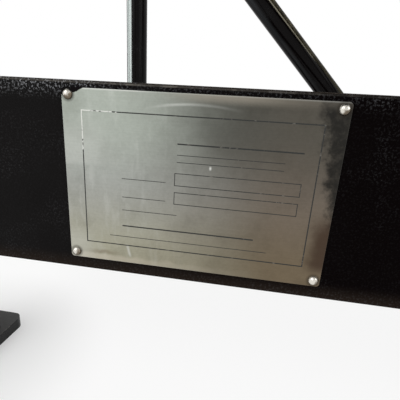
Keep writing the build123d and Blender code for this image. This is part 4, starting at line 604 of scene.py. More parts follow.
def plate_stains(steel, across, up, wander):
    """A dark bloom down the right edge, rust below it and a brown streak at the lower left."""
    inward = steel.minus(plate_half.x, across)
    flecks = steel.noise(0.004, detail=6.0, lump=0.7)
    ragged = steel.plus(steel.times(wander, 0.012), steel.times(steel.minus(flecks, 0.5), 0.010))
    plume = steel.plus(steel.times(up, 0.21), 0.0034, ragged)
    bloom = steel.span(steel.minus(plume, inward), -0.0040, 0.0034)
    bloom = steel.times(bloom, steel.span(flecks, 0.30, 0.60, 0.70, 0.96))
    steel.coat(bloom, PLATE_STAIN)
    rim = steel.plus(inward, steel.times(wander, 0.010))
    rust = steel.spans((rim, 0.014, 0.003), (up, -0.004, -0.020), (up, -0.046, -0.037, 0.0, 0.92))
    steel.coat(rust, PLATE_RUST)
    low_line = steel.plus(up, steel.times(wander, 0.006))
    streak = steel.times(steel.near(low_line, -0.0458, 0.0026), steel.near(across, -0.056, 0.016), 0.5)
    steel.coat(streak, PLATE_STREAK)
    low_rim = steel.spans((low_line, -0.0462, -0.0488), (across, 0.05, -0.06, 0.0, 0.45))
    right_end = (across, 0.062, 0.020, 0.08, 0.34)
    high_rim = steel.spans((up, 0.0450, 0.0500), (across, -0.030, 0.010), right_end)
    steel.coat(steel.most(low_rim, high_rim), PLATE_RIM)


def plate_marks(steel, across, up):
    """Bright marks: a scuffed arc, a drip, a nick, a rubbed corner, and painted highlights along the top
    edge and the cut edges.
    """
    bow = steel.times(steel.calc("POWER", across, 2.0), -4.0)
    arc = steel.times(
        steel.near(steel.minus(up, bow), 0.0454, 0.0012),
        steel.near(across, -0.003, 0.030),
        steel.span(across, 0.004, -0.018, 0.24, 0.60),
    )
    drip = steel.times(
        steel.near(steel.plus(across, steel.times(up, 0.25)), -0.0489, 0.0014),
        steel.span(up, -0.0372, -0.0410, 0.0, 0.5),
        steel.span(up, -0.0478, -0.0450),
    )
    nick = steel.times(steel.near(across, 0.0088, 0.0010), steel.near(up, 0.0126, 0.0016))
    # A bright line along the top edge, strongest on the left: a painted highlight.
    top_edge_highlight = steel.times(
        steel.near(up, plate_half.z, 0.0010),
        steel.span(across, -0.0652, -0.0640),
        steel.span(across, -0.020, -0.040, 0.25, 0.95),
    )
    corner = steel.spans((across, -0.054, -0.070), (up, -0.026, -0.040, 0.0, 0.32))
    # Lighter cut edges, mostly on the left: a painted highlight.
    edges = steel.times(steel.edges(0.0004), steel.span(across, 0.03, -0.04, 0.05, 0.4))
    steel.coat(steel.most(arc, drip, nick, top_edge_highlight, corner, edges), PLATE_SCUFF_AND_HIGHLIGHT)


def screw_shadow_and_grime(steel, across, up):
    """A dark ring round each of the four screws: painted contact shadow, with some grime."""
    right = steel.minus(steel.calc("ABSOLUTE", across), plate_half.x - SCREW_INSET)
    above = steel.minus(steel.calc("ABSOLUTE", up), plate_half.z - SCREW_INSET)
    square = steel.plus(steel.calc("POWER", right, 2.0), steel.calc("POWER", above, 2.0))
    # Darker round each screw head: painted shadow where the head stands on the plate.
    shadow_ring = steel.span(steel.calc("SQRT", square), 0.0047, 0.0032)
    steel.coat(steel.times(shadow_ring, 0.45), PLATE_SCREW_SHADOW_AND_GRIME)


def plate_steel():
    """Brushed plate with its tones, stains, marks and dirt, and black paint lapped over one corner."""
    steel = Finish("plate_steel", PLATE_BRIGHT, specular=0.05)
    across, up = plate_places(steel)
    cloud = steel.noise(0.030, detail=4.0)
    wander = steel.minus(steel.noise(0.010, detail=5.0, shift=4.4), 0.5)
    plate_tones(steel, across, up, cloud)
    plate_stains(steel, across, up, wander)
    plate_marks(steel, across, up)
    screw_shadow_and_grime(steel, across, up)
    slope = steel.minus(steel.plus(up, steel.times(wander, 0.006)), steel.times(across, 0.42))
    lap = steel.spans((slope, 0.0780, 0.0784), (across, -0.0600, -0.0604))
    steel.coat(lap, PAINT_DARK)
    grain = steel.noise(0.00030, detail=2.0, stretch=(70.0, 1.0, 1.0))
    steel.coat(steel.span(grain, 0.35, 0.70, 0.0, 0.12), PLATE_SMUDGE, "MULTIPLY")
    brushed = steel.relief(grain, 0.000006)
    uneven = steel.relief(steel.noise(0.035, detail=1.0, shift=7.0), 0.0004, brushed)
    dull = steel.span(cloud, 0.3, 0.7, 0.38, 0.52)
    steel.surface(Metallic=steel.minus(1.0, lap), Roughness=dull, Normal=uneven)
    return steel


dress(["nameplate"], plate_steel())

# Plate print. A single-line border, two empty boxes and plain writing rules, filled with black
# enamel that has worn back to bright metal at the upper left.
PRINT_INK = (0.024, 0.025, 0.023)
PRINT_GAP = (0.120, 0.112, 0.098)
PRINT_WORN = (0.76, 0.77, 0.72)
BORDER_LINE = 0.00060
BOX_LINE = 0.00040
THIN_RULE = 0.00034
BOLD_RULE = 0.00075
PRINT_HEIGHT = 0.00004
# Each frame: across, up, width, height, line. Each rule: left end, right end, height, line.
PRINT_FRAMES = (
    (0.0, 0.0, 0.1305, 0.0790, BORDER_LINE),
    (0.0234, 0.0047, 0.0690, 0.0074, BOX_LINE),
    (0.0233, -0.0063, 0.0687, 0.0073, BOX_LINE),
)
PRINT_RULES = (
    (-0.010, 0.057, 0.0245, BOLD_RULE),
    (-0.010, 0.048, 0.0185, THIN_RULE),
    (-0.010, 0.048, 0.0145, THIN_RULE),
    (-0.042, -0.016, 0.0025, THIN_RULE),
    (-0.042, -0.016, -0.0085, THIN_RULE),
    (-0.042, -0.009, -0.0165, THIN_RULE),
    (-0.042, 0.036, -0.0265, BOLD_RULE),
    (-0.050, 0.044, -0.0335, THIN_RULE),
)


def apply_modifier(piece, kind, **settings):
    """Add a modifier to a piece, set it and apply it to the mesh."""
    bpy.context.view_layer.objects.active = piece
    modifier = piece.modifiers.new(kind.lower(), kind)
    for name, value in settings.items():
        setattr(modifier, name, value)
    bpy.ops.object.modifier_apply(modifier=modifier.name)


def printed(across, up, width, height, line=None):
    """A raised patch of print on the face of the plate: a frame of the given line, or else filled."""
    place = (plate_middle.x + across, plate_low.y, plate_middle.z + up)
    bpy.ops.mesh.primitive_plane_add(size=1.0, location=place, rotation=(pi / 2, 0.0, 0.0))
    patch = bpy.context.object
    patch.scale = (width, height, 1.0)
    bpy.ops.object.transform_apply()
    if line:
        with editing():
            bpy.ops.mesh.inset(thickness=line, depth=0.0)
            bpy.ops.mesh.delete(type="FACE")
    apply_modifier(patch, "SOLIDIFY", thickness=PRINT_HEIGHT, offset=1.0)
    return patch


def worn_ink():
    """Black enamel in the print, rubbed to bright metal at the upper left and here and there."""
    ink = Finish("plate_ink", PRINT_INK, specular=0.3)
    across, up = plate_places(ink)
    rubbed = ink.spans((across, -0.030, -0.064), (up, 0.006, 0.038))
    amount = ink.plus(ink.noise(0.0026, detail=5.0), ink.times(rubbed, 0.30))
    worn = ink.span(amount, 0.60, 0.70)
    bared = ink.blend(ink.span(rubbed, 0.0, 0.35), PRINT_GAP, PRINT_WORN)
    ink.coat(worn, bared)
    ink.surface(Roughness=ink.span(worn, 0.0, 1.0, 0.55, 0.35))
    return ink


plate_print = [printed(*row) for row in PRINT_FRAMES]
for left, right, up, line in PRINT_RULES:
    plate_print.append(printed((left + right) / 2, up, right - left, line))
settle(plate_print, "plate_print", worn_ink(), "frame")

# Plate screws. Four round-headed drive screws through the corners of the plate, nickel plated and
# browned in patches, with painted shade on the lower right of each head and round its foot.
SCREW_NICKEL = (0.74, 0.71, 0.64)
SCREW_TARNISH_AND_SHADE = (0.130, 0.098, 0.062)
SCREW_FOOT_SHADE_AND_DIRT = (0.030, 0.022, 0.014)
SCREW_DOME = plate_low.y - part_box("nameplate_screws")[0].y


def tarnished_shaded_nickel():
    """Plated dome with brown tarnish in patches, and painted shade with some dirt on its lower right and
    round its foot.
    """
    nickel = Finish("screw_nickel", SCREW_NICKEL, metallic=1.0)
    # Darker on the lower right of each dome: painted shade, as if lit from the upper left.
    shaded_low_right = nickel.minus(nickel.axis("X", "Normal"), nickel.axis("Z", "Normal"))
    cloud = nickel.noise(0.0024, detail=4.0, shift=6.0)
    amount = nickel.plus(cloud, nickel.times(shaded_low_right, 0.34))
    patches = nickel.span(amount, 0.44, 0.72, 0.0, 0.92)
    nickel.coat(patches, SCREW_TARNISH_AND_SHADE)
    # Darker round the foot of the dome, most on the lower right: painted shade where the head meets the
    # plate, with some dirt.
    foot = nickel.span(nickel.axis("Y"), plate_low.y - 0.45 * SCREW_DOME, plate_low.y)
    foot = nickel.times(foot, nickel.span(shaded_low_right, -0.6, 0.5, 0.30, 0.92))
    nickel.coat(foot, SCREW_FOOT_SHADE_AND_DIRT)
    dents = nickel.relief(nickel.noise(0.0016, detail=2.0), 0.00016)
    nickel.surface(Roughness=nickel.span(patches, 0.0, 1.0, 0.20, 0.42), Normal=dents)
    return nickel


dress(["nameplate_screws"], tarnished_shaded_nickel())

# Discharge spout. A rolled stainless cone and collar hung under the bed by a bolted flange, with a
# weld bead where the cone meets the flange and the collar.
STEEL_GREY = (0.400, 0.402, 0.396)
STEEL_SHADE = (0.325, 0.325, 0.318)
STEEL_BRIGHT = (0.560, 0.560, 0.550)
MEAL_DUST = (0.520, 0.465, 0.370)
SEAM_STRAW = (0.330, 0.270, 0.165)
SEAM_BLUE = (0.150, 0.160, 0.190)
SEAM_GREY = (0.330, 0.325, 0.315)
SPOUT_COLLAR_HEIGHT = 0.046
SPOUT_COLLAR_RADIUS = 0.093
SPOUT_FLANGE = 0.008
SPOUT_CONE_RADIUS = 0.133
SPOUT_BEAD = 0.0020
ZINC_BRIGHT = (0.470, 0.468, 0.445)
ZINC_DULL = (0.315, 0.308, 0.284)


def stainless(name, dusty, roughness=0.30, grain_way=(60.0, 60.0, 1.0), dents=0.0006):
    """Brushed stainless: grain along the sheet, faint streaks and stains, meal dust on ledges."""
    steel = Finish(name, STEEL_GREY)
    grain = steel.noise(0.0006, detail=2.0, stretch=grain_way)
    cloud = steel.noise(0.055, detail=4.0, shift=5.0)
    streak = steel.noise(0.005, detail=3.0, stretch=(1.0, 1.0, 22.0), shift=2.0)
    steel.coat(steel.span(cloud, 0.35, 0.72), STEEL_SHADE)
    steel.coat(steel.span(streak, 0.55, 0.80, 0.0, 0.45), STEEL_SHADE)
    steel.coat(steel.span(grain, 0.30, 0.75, 0.0, 0.40), STEEL_BRIGHT)
    ledge = steel.span(steel.axis("Z", "Normal"), 0.60, 0.95)
    patches = steel.patches(0.030, 0.36, 0.75, 0.0, dusty, detail=7.0, lump=0.62, shift=8.0)
    dust = steel.times(ledge, patches)
    steel.coat(dust, MEAL_DUST)
    dull = steel.span(cloud, 0.3, 0.7, roughness, roughness + 0.10)
    dull = steel.plus(dull, steel.times(dust, 0.4))
    brushed = steel.relief(grain, 0.000014)
    dented = steel.relief(steel.noise(0.080, detail=1.0, shift=3.0), dents, brushed)
    bare = steel.span(dust, 0.0, 1.0, 1.0, 0.0)
    steel.surface(Metallic=bare, Roughness=dull, Normal=dented)
    return steel


def seam_steel():
    """Stainless weld metal, grey with straw and blue heat tint."""
    seam = Finish("seam_steel", SEAM_STRAW, metallic=1.0)
    tint = seam.noise(0.008, detail=3.0)
    seam.coat(seam.span(tint, 0.38, 0.55), SEAM_GREY)
    seam.coat(seam.span(tint, 0.58, 0.72), SEAM_BLUE)
    seam.surface(Roughness=seam.patches(0.002, 0.3, 0.7, 0.34, 0.55, shift=4.0))
    return seam


def zinc_plate():
    """Zinc plated fasteners, dulled in spots."""
    zinc = Finish("zinc_plate", ZINC_BRIGHT, metallic=1.0)
    spots = zinc.patches(0.004, 0.42, 0.70, detail=5.0, lump=0.65)
    zinc.coat(spots, ZINC_DULL)
    grain = zinc.relief(zinc.noise(0.0012, detail=2.0, shift=5.0), 0.00005)
    zinc.surface(Roughness=zinc.span(spots, 0.0, 1.0, 0.30, 0.52), Normal=grain)
    return zinc


vessel_steel = stainless("vessel_steel", dusty=0.25)
weld_seam = seam_steel()
zinc = zinc_plate()
dress(["discharge_spout"], vessel_steel)
dress(["m10_bolts"], zinc)
spout_low, spout_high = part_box("discharge_spout")
mill_x = box_middle("discharge_spout").x
cone_bottom = spout_low.z + SPOUT_COLLAR_HEIGHT
cone_top = spout_high.z - SPOUT_FLANGE
spout_beads = [
    ring_bead((mill_x, 0.0, cone_bottom), SPOUT_COLLAR_RADIUS, SPOUT_BEAD),
    ring_bead((mill_x, 0.0, cone_top), SPOUT_CONE_RADIUS, SPOUT_BEAD),
]
settle(spout_beads, "spout_welds", weld_seam, "frame")

# Mill housing and door. The shell is rolled stainless, welded to its base and top rings at the
# back; its front half is a door on a pinned hinge, closed on a black gasket.
SHELL_RADIUS = 0.135
SHELL_BEAD = 0.0024
BASE_RING = 0.012
BEAD_FRONT = 0.004
RUBBER_BLACK = (0.0110, 0.0110, 0.0108)
RUBBER_GREY = (0.0420, 0.0410, 0.0390)


def rubber(name):
    """Black rubber, greyed in patches, with a fine dull skin."""
    skin = Finish(name, RUBBER_BLACK, specular=0.3)
    bloom = skin.patches(0.012, 0.45, 0.75, 0.0, 0.8, detail=5.0)
    grain = skin.relief(skin.noise(0.0009, detail=2.0, shift=3.0), 0.00006)
    skin.coat(bloom, RUBBER_GREY)
    skin.surface(Roughness=0.72, Normal=grain)
    return skin


dress(["mill_housing", "housing_door"], vessel_steel)
dress(["hinge_pins"], zinc)
gasket_rubber = rubber("gasket_rubber")
dress(["door_gasket", "shaft_seal"], gasket_rubber)
shell_low, shell_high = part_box("mill_housing")
ring_heights = (shell_low.z + BASE_RING, shell_high.z - BASE_RING)
back_bead = ring_bead((mill_x, 0.0, 0.0), SHELL_RADIUS, SHELL_BEAD)
keep_side(back_bead, (mill_x, BEAD_FRONT, 0.0), (0.0, 1.0, 0.0))
housing_beads = shifted(back_bead, [UP * height for height in ring_heights])
settle(housing_beads, "housing_welds", weld_seam, "frame")

# Door knobs. Two moulded black star knobs on steel studs hold the door shut, one low and one high,
# and each has a bright steel plug in its face.
PLASTIC_BLACK = (0.0100, 0.0100, 0.0105)
PLASTIC_WORN = (0.0450, 0.0440, 0.0420)
KNOBS = ("knob_lower", "knob_upper")
FRONT = Vector((0.0, -1.0, 0.0))
PLUG_SIDES = 32
PLUG_STEPS = (
    (0.0078, 0.0), (0.0078, 0.0006), (0.0070, 0.0014),
    (0.0034, 0.0018), (0.0030, 0.0010), (0.0008, 0.0008),
)


def moulded_plastic(name):
    """Black moulded plastic with a fine grain, rubbed paler in patches."""
    plastic = Finish(name, PLASTIC_BLACK, specular=0.35)
    rubbed = plastic.patches(0.010, 0.48, 0.75, 0.0, 0.7, detail=5.0)
    grain = plastic.relief(plastic.noise(0.0007, detail=2.0, shift=6.0), 0.00004)
    plastic.coat(rubbed, PLASTIC_WORN)
    plastic.surface(Roughness=plastic.span(rubbed, 0.0, 1.0, 0.38, 0.55), Normal=grain)
    return plastic


def extrude(move):
    """Draw out what is selected by a move."""
    bpy.ops.mesh.extrude_region_move(TRANSFORM_OT_translate={"value": move})


def turned(steps, sides):
    """A piece turned on a lathe through steps of (radius, height), standing at the origin."""
    radius, height = steps[0]
    bpy.ops.mesh.primitive_circle_add(vertices=sides, radius=radius, fill_type="NGON")
    piece = bpy.context.object
    with editing():
        for next_radius, next_height in steps[1:]:
            extrude((0.0, 0.0, next_height - height))
            share = next_radius / radius
            bpy.ops.transform.resize(value=(share, share, 1.0), center_override=(0.0, 0.0, next_height))
            radius, height = next_radius, next_height
        bpy.ops.mesh.select_all(action="SELECT")
        bpy.ops.mesh.normals_make_consistent(inside=False)
    return piece


def facing(place, way):
    """The move of a piece from the origin to a place, with its axis turned one way."""
    return Matrix.Translation(place) @ way.to_track_quat("Z", "Y").to_matrix().to_4x4()


black_plastic = moulded_plastic("knob_plastic")
dress([f"door_{name}" for name in KNOBS], black_plastic)
knob_faces = []
for name in KNOBS:
    face = box_middle(f"door_{name}")
    face.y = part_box(f"door_{name}")[0].y
    knob_faces.append(facing(face, FRONT))
plugs = copies(turned(PLUG_STEPS, PLUG_SIDES), knob_faces)
for name, plug in zip(KNOBS, plugs):
    settle([plug], f"{name}_plug", zinc, name)

# Screen and rotor. A perforated stainless basket on its seat round a steel rotor with fixed
# hammers; all of it is machined or punched, and worn bright by the feed.
WORN_BRIGHT = (0.520, 0.515, 0.500)
WORN_SHADE = (0.230, 0.225, 0.215)


def worn_steel(name, roughness):
    """Machined steel, scoured bright in patches."""
    steel = Finish(name, WORN_BRIGHT, metallic=1.0)
    scour = steel.patches(0.014, 0.36, 0.66, detail=5.0)
    lines = steel.noise(0.0008, detail=2.0, stretch=(30.0, 30.0, 1.0), shift=2.0)
    steel.coat(scour, WORN_SHADE)
    dull = steel.span(scour, 0.0, 1.0, roughness, roughness + 0.18)
    steel.surface(Roughness=dull, Normal=steel.relief(lines, 0.00002))
    return steel


shaft_steel = worn_steel("shaft_steel", roughness=0.24)
dress(["screen", "screen_seat"], worn_steel("screen_steel", roughness=0.34))
dress(["rotor_shaft", "rotor_hub", "hammers"], shaft_steel)
dress(["shaft_nuts"], zinc)

# Feed chamber and chute. A flanged stainless tube on top of the housing with a square chute welded
# over its front window, closed by a thick bolted cover.
CHAMBER_RADIUS = 0.088
CHAMBER_FLANGE = 0.008
CHAMBER_BEAD = 0.0020
CHUTE_SIDE = 0.063
CHUTE_SEAM_MIDDLE = 0.9243
dress(["feed_chamber", "feed_chute", "chamber_cover"], vessel_steel)
dress(["m8_bolts"], zinc)
chamber_low, chamber_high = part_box("feed_chamber")
chute_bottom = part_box("feed_chute")[0].z
side_back = -sqrt(CHAMBER_RADIUS**2 - CHUTE_SIDE**2)
flange_heights = (chamber_low.z + CHAMBER_FLANGE, chamber_high.z - CHAMBER_FLANGE)
flange_places = [(mill_x, 0.0, height) for height in flange_heights]
chamber_beads = shifted(ring_bead((0.0, 0.0, 0.0), CHAMBER_RADIUS, CHAMBER_BEAD), flange_places)
foot = (0.0, side_back, chute_bottom)
head = (0.0, side_back, CHUTE_SEAM_MIDDLE - side_back)
seam_places = [(mill_x + side, 0.0, 0.0) for side in (-CHUTE_SIDE, CHUTE_SIDE)]
chamber_beads += shifted(rod_bead(foot, head, CHAMBER_BEAD), seam_places)
arch = ring_bead((mill_x, 0.0, CHUTE_SEAM_MIDDLE), CHAMBER_RADIUS, CHAMBER_BEAD)
arch.scale = (1.0, sqrt(2.0), 1.0)
arch.rotation_euler = (-pi / 4, 0.0, 0.0)
keep_side(arch, (mill_x, side_back, CHUTE_SEAM_MIDDLE), FRONT)
chamber_beads.append(arch)
settle(chamber_beads, "chamber_welds", weld_seam, "frame")

# Gate, hopper and lid. Folded stainless sheet with welded corners; the gate slides in a frame
# under the hopper and the lid turns on pins at the back, with a bent bar handle.
HOPPER_THROAT = (0.0625, 0.05553)
HOPPER_MOUTH = (0.1925, 0.1525)
HOPPER_FLANGE = 0.006
HOPPER_RIM = 0.004
THROAT_Y = -0.202
MOUTH_Y = -0.300
CORNER_BEAD = 0.0018
HANDLE_BAR_RADIUS = 0.0055
HANDLE_BEAD = 0.0017
SHEET_GRAIN = (80.0, 1.0, 1.0)
SHEET_DENTS = 0.0002
hopper_steel = stainless("hopper_steel", 0.20, roughness=0.33, grain_way=SHEET_GRAIN, dents=SHEET_DENTS)
dress(["gate_frame", "feed_gate", "hopper", "hopper_lid"], hopper_steel)
dress(["lid_handle"], worn_steel("handle_steel", roughness=0.20))
throat_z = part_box("hopper")[0].z + HOPPER_FLANGE
rim_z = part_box("lid_handle")[0].z - HOPPER_RIM
corner_beads = []
for side in (-1, 1):
    for end in (-1, 1):
        foot = (mill_x + side * HOPPER_THROAT[0], THROAT_Y + end * HOPPER_THROAT[1], throat_z)
        head = (mill_x + side * HOPPER_MOUTH[0], MOUTH_Y + end * HOPPER_MOUTH[1], rim_z)
        corner_beads.append(rod_bead(foot, head, CORNER_BEAD))
settle(corner_beads, "hopper_welds", weld_seam, "frame")
handle_low, handle_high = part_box("lid_handle")
handle_y = box_middle("lid_handle").y
post_ends = (handle_low.x + HANDLE_BAR_RADIUS, handle_high.x - HANDLE_BAR_RADIUS)
post_places = [(across, handle_y, handle_low.z) for across in post_ends]
handle_beads = shifted(ring_bead((0.0, 0.0, 0.0), HANDLE_BAR_RADIUS, HANDLE_BEAD), post_places)
settle(handle_beads, "handle_welds", weld_seam, "lid")

# Bearing housing. A ribbed grey iron casting on the cover, with two bearings inside, a screwed cap
# on top and a grease nipple for each bearing.
CAST_GREY = (0.120, 0.132, 0.138)
CAST_SHADE = (0.070, 0.077, 0.080)
CHIP_IRON = (0.200, 0.190, 0.175)
CAST_DUST = (0.240, 0.230, 0.205)
HOUSING_RADIUS = 0.058
HEX_SIDES = 6
NIPPLE_HEIGHTS = (0.028, 0.112)
NIPPLE_TURN = radians(-45)
NIPPLE_STEPS = (
    (0.0052, 0.0), (0.0052, 0.0050), (0.0030, 0.0062), (0.0024, 0.0090),
    (0.0034, 0.0105), (0.0032, 0.0118), (0.0014, 0.0132),
)


def enamel(name, colour, shade, dust_colour):
    """Brushed-on enamel over a casting: lumpy, dusty on top, rubbed to bare iron along the edges."""
    skin = Finish(name, colour, specular=0.4)
    cloud = skin.patches(0.045, 0.35, 0.70, detail=4.0)
    skin.coat(cloud, shade)
    ledge = skin.span(skin.axis("Z", "Normal"), 0.55, 0.95)
    drift = skin.patches(0.010, 0.35, 0.70, 0.10, 0.75, detail=6.0, shift=4.0)
    dust = skin.times(ledge, drift)
    skin.coat(dust, dust_colour)
    chips = skin.patches(0.006, 0.46, 0.60, detail=5.0, shift=7.0)
    chips = skin.times(skin.edges(0.0016), chips)
    skin.coat(chips, CHIP_IRON)
    lumps = skin.relief(skin.noise(0.0045, detail=3.0, shift=2.0), 0.00030)
    dull = skin.plus(skin.span(dust, 0.0, 1.0, 0.36, 0.70), skin.times(chips, 0.1))
    skin.surface(Metallic=skin.times(chips, 0.8), Roughness=dull, Normal=lumps)
    return skin


def on_round(middle_x, radius, turn, height):
    """The move of a piece from the origin to the side of an upright round part, facing out from it."""
    way = Vector((cos(turn), sin(turn), 0.0))
    return facing(Vector((middle_x, 0.0, height)) + way * radius, way)


dress(["bearing_housing", "bearing_cap"], enamel("cast_enamel", CAST_GREY, CAST_SHADE, CAST_DUST))
dress(["shaft_bearings"], shaft_steel)
dress(["cap_screws"], zinc)
cover_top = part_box("bearing_housing")[0].z
nipple_spots = [
    on_round(mill_x, HOUSING_RADIUS, NIPPLE_TURN, cover_top + height) for height in NIPPLE_HEIGHTS
]
nipples = copies(turned(NIPPLE_STEPS, HEX_SIDES), nipple_spots)
settle(nipples, "grease_nipples", zinc, "frame")

# Motor stand. An upright plate with welded gussets on the bed carries four threaded studs, and the
# motor's plate slides on them between nuts; plates are black, studs and nuts zinc plated.
GREASE = (0.020, 0.016, 0.010)
STUD_PITCH = 0.0020
STUD_DEPTH = 0.0009
GUSSET_HALF = 0.005
GUSSET_MIDDLE = 0.090
GUSSET_RUN = 0.126
GUSSET_RISE = 0.130
BRACKET_FOOT = 0.012
BRACKET_PLATE = 0.012
BRACKET_BEAD = 0.0030


def threaded_zinc():
    """Zinc plated studding with its thread drawn along X."""
    stud = Finish("stud_zinc", ZINC_BRIGHT, metallic=1.0)
    turns = stud.calc("SINE", stud.times(stud.axis("X"), 2 * pi / STUD_PITCH))
    spots = stud.patches(0.006, 0.40, 0.70, detail=4.0)
    stud.coat(spots, ZINC_DULL)
    stud.coat(stud.span(turns, -0.2, -1.0, 0.0, 0.6), GREASE)
    stud.surface(Roughness=0.38, Normal=stud.relief(turns, STUD_DEPTH))
    return stud


dress(["motor_bracket", "motor_plate"], bed_paint)
dress(["motor_studs"], threaded_zinc())
dress(["stud_nuts", "bracket_bolts", "motor_foot_bolts"], zinc)
bracket_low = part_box("motor_bracket")[0]
gusset_corners = [
    (bracket_low.x + BRACKET_PLATE, side + flank, bracket_low.z + BRACKET_FOOT)
    for side in (-GUSSET_MIDDLE, GUSSET_MIDDLE)
    for flank in (-GUSSET_HALF, GUSSET_HALF)
]
bracket_beads = []
for end in ((GUSSET_RUN, 0.0, 0.0), (0.0, 0.0, GUSSET_RISE)):
    bracket_beads += shifted(rod_bead((0.0, 0.0, 0.0), end, BRACKET_BEAD), gusset_corners)
settle(bracket_beads, "bracket_welds", bed_paint, "frame")

# Motor. A finned, totally enclosed motor standing shaft upwards, cast in iron and sprayed blue-grey,
# with a lifting eye, bolted end brackets and a blank rating plate riveted over the fins.
MOTOR_BLUE = (0.098, 0.122, 0.142)
MOTOR_SHADE = (0.060, 0.076, 0.090)
MOTOR_DUST = (0.215, 0.210, 0.192)
RIGHT = Vector((1.0, 0.0, 0.0))
FIN_RADIUS = 0.1072
EYE_RISE = 0.085
EYE_RING = 0.0100
EYE_BAR = 0.0032
EYE_STEM = 0.0060
EYE_RIPPLE = 0.0001
EYE_COLLAR_SIDES = 24
EYE_STEPS = 40
EYE_BAR_SIDES = 14
EYE_COLLAR = ((0.0100, 0.0), (0.0100, 0.0060), (0.0085, 0.0075), (0.0045, 0.0085), (0.0042, 0.0115))
END_BOSS_RISE = 0.010
BRACKET_BOLT_CIRCLE = 0.080
BOLT_TURNS = [radians(turn) for turn in (45, 135, 225, 315)]
BRACKET_BOLT_STEPS = ((0.0075, 0.0), (0.0075, 0.0046), (0.0066, 0.0053))
RATING_TURN = radians(-38)
RATING_HALF_TURN = radians(24)
RATING_HEIGHT = 0.056
RATING_DROP = 0.046
RATING_RIM = 0.0030
RATING_RECESS = 0.0003
RATING_SHEET = 0.0008
RATING_SIDES = 120
RIVET_TURN = RATING_HALF_TURN * 0.86
RIVET_RISE = RATING_HEIGHT * 0.42
RIVET_SIDES = 16
RIVET_STEPS = ((0.0024, 0.0), (0.0024, 0.0005), (0.0018, 0.0012), (0.0008, 0.0015))
motor_enamel = enamel("motor_enamel", MOTOR_BLUE, MOTOR_SHADE, MOTOR_DUST)
dress(["motor_frame", "motor_drive_end", "motor_fan_end"], motor_enamel)
dress(["motor_shaft", "stator"], shaft_steel)
motor_x = box_middle("motor_shaft").x
motor_middle = box_middle("motor_frame").z
eye_place = Vector((motor_x + FIN_RADIUS, 0.0, motor_middle + EYE_RISE))
eye_collar = turned(EYE_COLLAR, EYE_COLLAR_SIDES)
eye_collar.matrix_basis = facing(eye_place, RIGHT)
bpy.ops.mesh.primitive_torus_add(
    location=eye_place + RIGHT * (EYE_STEM + EYE_RING),
    rotation=(pi / 2, 0.0, 0.0),
    major_radius=EYE_RING,
    minor_radius=EYE_BAR,
    major_segments=EYE_STEPS,
    minor_segments=EYE_BAR_SIDES,
)
eye_ring = roughen(bpy.context.object, EYE_RIPPLE)
settle([eye_collar, eye_ring], "lifting_eye", zinc, "motor")
end_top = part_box("motor_drive_end")[1].z - END_BOSS_RISE
end_middle = Matrix.Translation((motor_x, 0.0, end_top))
bolt_reach = Matrix.Translation((BRACKET_BOLT_CIRCLE, 0.0, 0.0))
bolt_spots = [end_middle @ Matrix.Rotation(turn, 4, "Z") @ bolt_reach for turn in BOLT_TURNS]
end_bolts = copies(turned(BRACKET_BOLT_STEPS, HEX_SIDES), bolt_spots)
settle(end_bolts, "end_bracket_bolts", zinc, "motor")

rating_z = motor_middle - RATING_DROP
bpy.ops.mesh.primitive_cylinder_add(
    vertices=RATING_SIDES,
    radius=FIN_RADIUS,
    depth=RATING_HEIGHT,
    end_fill_type="NOTHING",
    location=(motor_x, 0.0, rating_z),
)
rating_plate = bpy.context.object
middle_way = Vector((cos(RATING_TURN), sin(RATING_TURN), 0.0))
with editing("FACE", lambda face: face.normal.angle(middle_way) > RATING_HALF_TURN):
    bpy.ops.mesh.delete(type="FACE")
    bpy.ops.mesh.select_all(action="SELECT")
    bpy.ops.mesh.inset(thickness=RATING_RIM, depth=-RATING_RECESS)
apply_modifier(rating_plate, "SOLIDIFY", thickness=RATING_SHEET, offset=1.0)
settle([rating_plate], "rating_plate", vessel_steel, "motor")
rivet_spots = [
    on_round(motor_x, FIN_RADIUS, turn, rating_z + rise)
    for turn in (RATING_TURN - RIVET_TURN, RATING_TURN + RIVET_TURN)
    for rise in (-RIVET_RISE, RIVET_RISE)
]
rivets = copies(turned(RIVET_STEPS, RIVET_SIDES), rivet_spots)
settle(rivets, "rating_rivets", zinc, "motor")

# Fan and fan cover. A moulded fan on the motor's lower shaft end inside a pressed steel cover, held
# by screws through its side.
PAN_SCREW_SIDES = 20
PAN_SCREW_STEPS = (
    (0.0048, 0.0), (0.0048, 0.0012), (0.0040, 0.0026),
    (0.0022, 0.0030), (0.0020, 0.0014), (0.0006, 0.0012),
)
FAN_COVER_RADIUS = 0.103
FAN_SCREW_DROP = 0.010
dress(["motor_fan"], black_plastic)
dress(["fan_cover"], motor_enamel)
fan_screw_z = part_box("fan_cover")[1].z - FAN_SCREW_DROP
fan_screw_spots = [on_round(motor_x, FAN_COVER_RADIUS, turn, fan_screw_z) for turn in BOLT_TURNS]
fan_screws = copies(turned(PAN_SCREW_STEPS, PAN_SCREW_SIDES), fan_screw_spots)
settle(fan_screws, "fan_cover_screws", zinc, "motor")

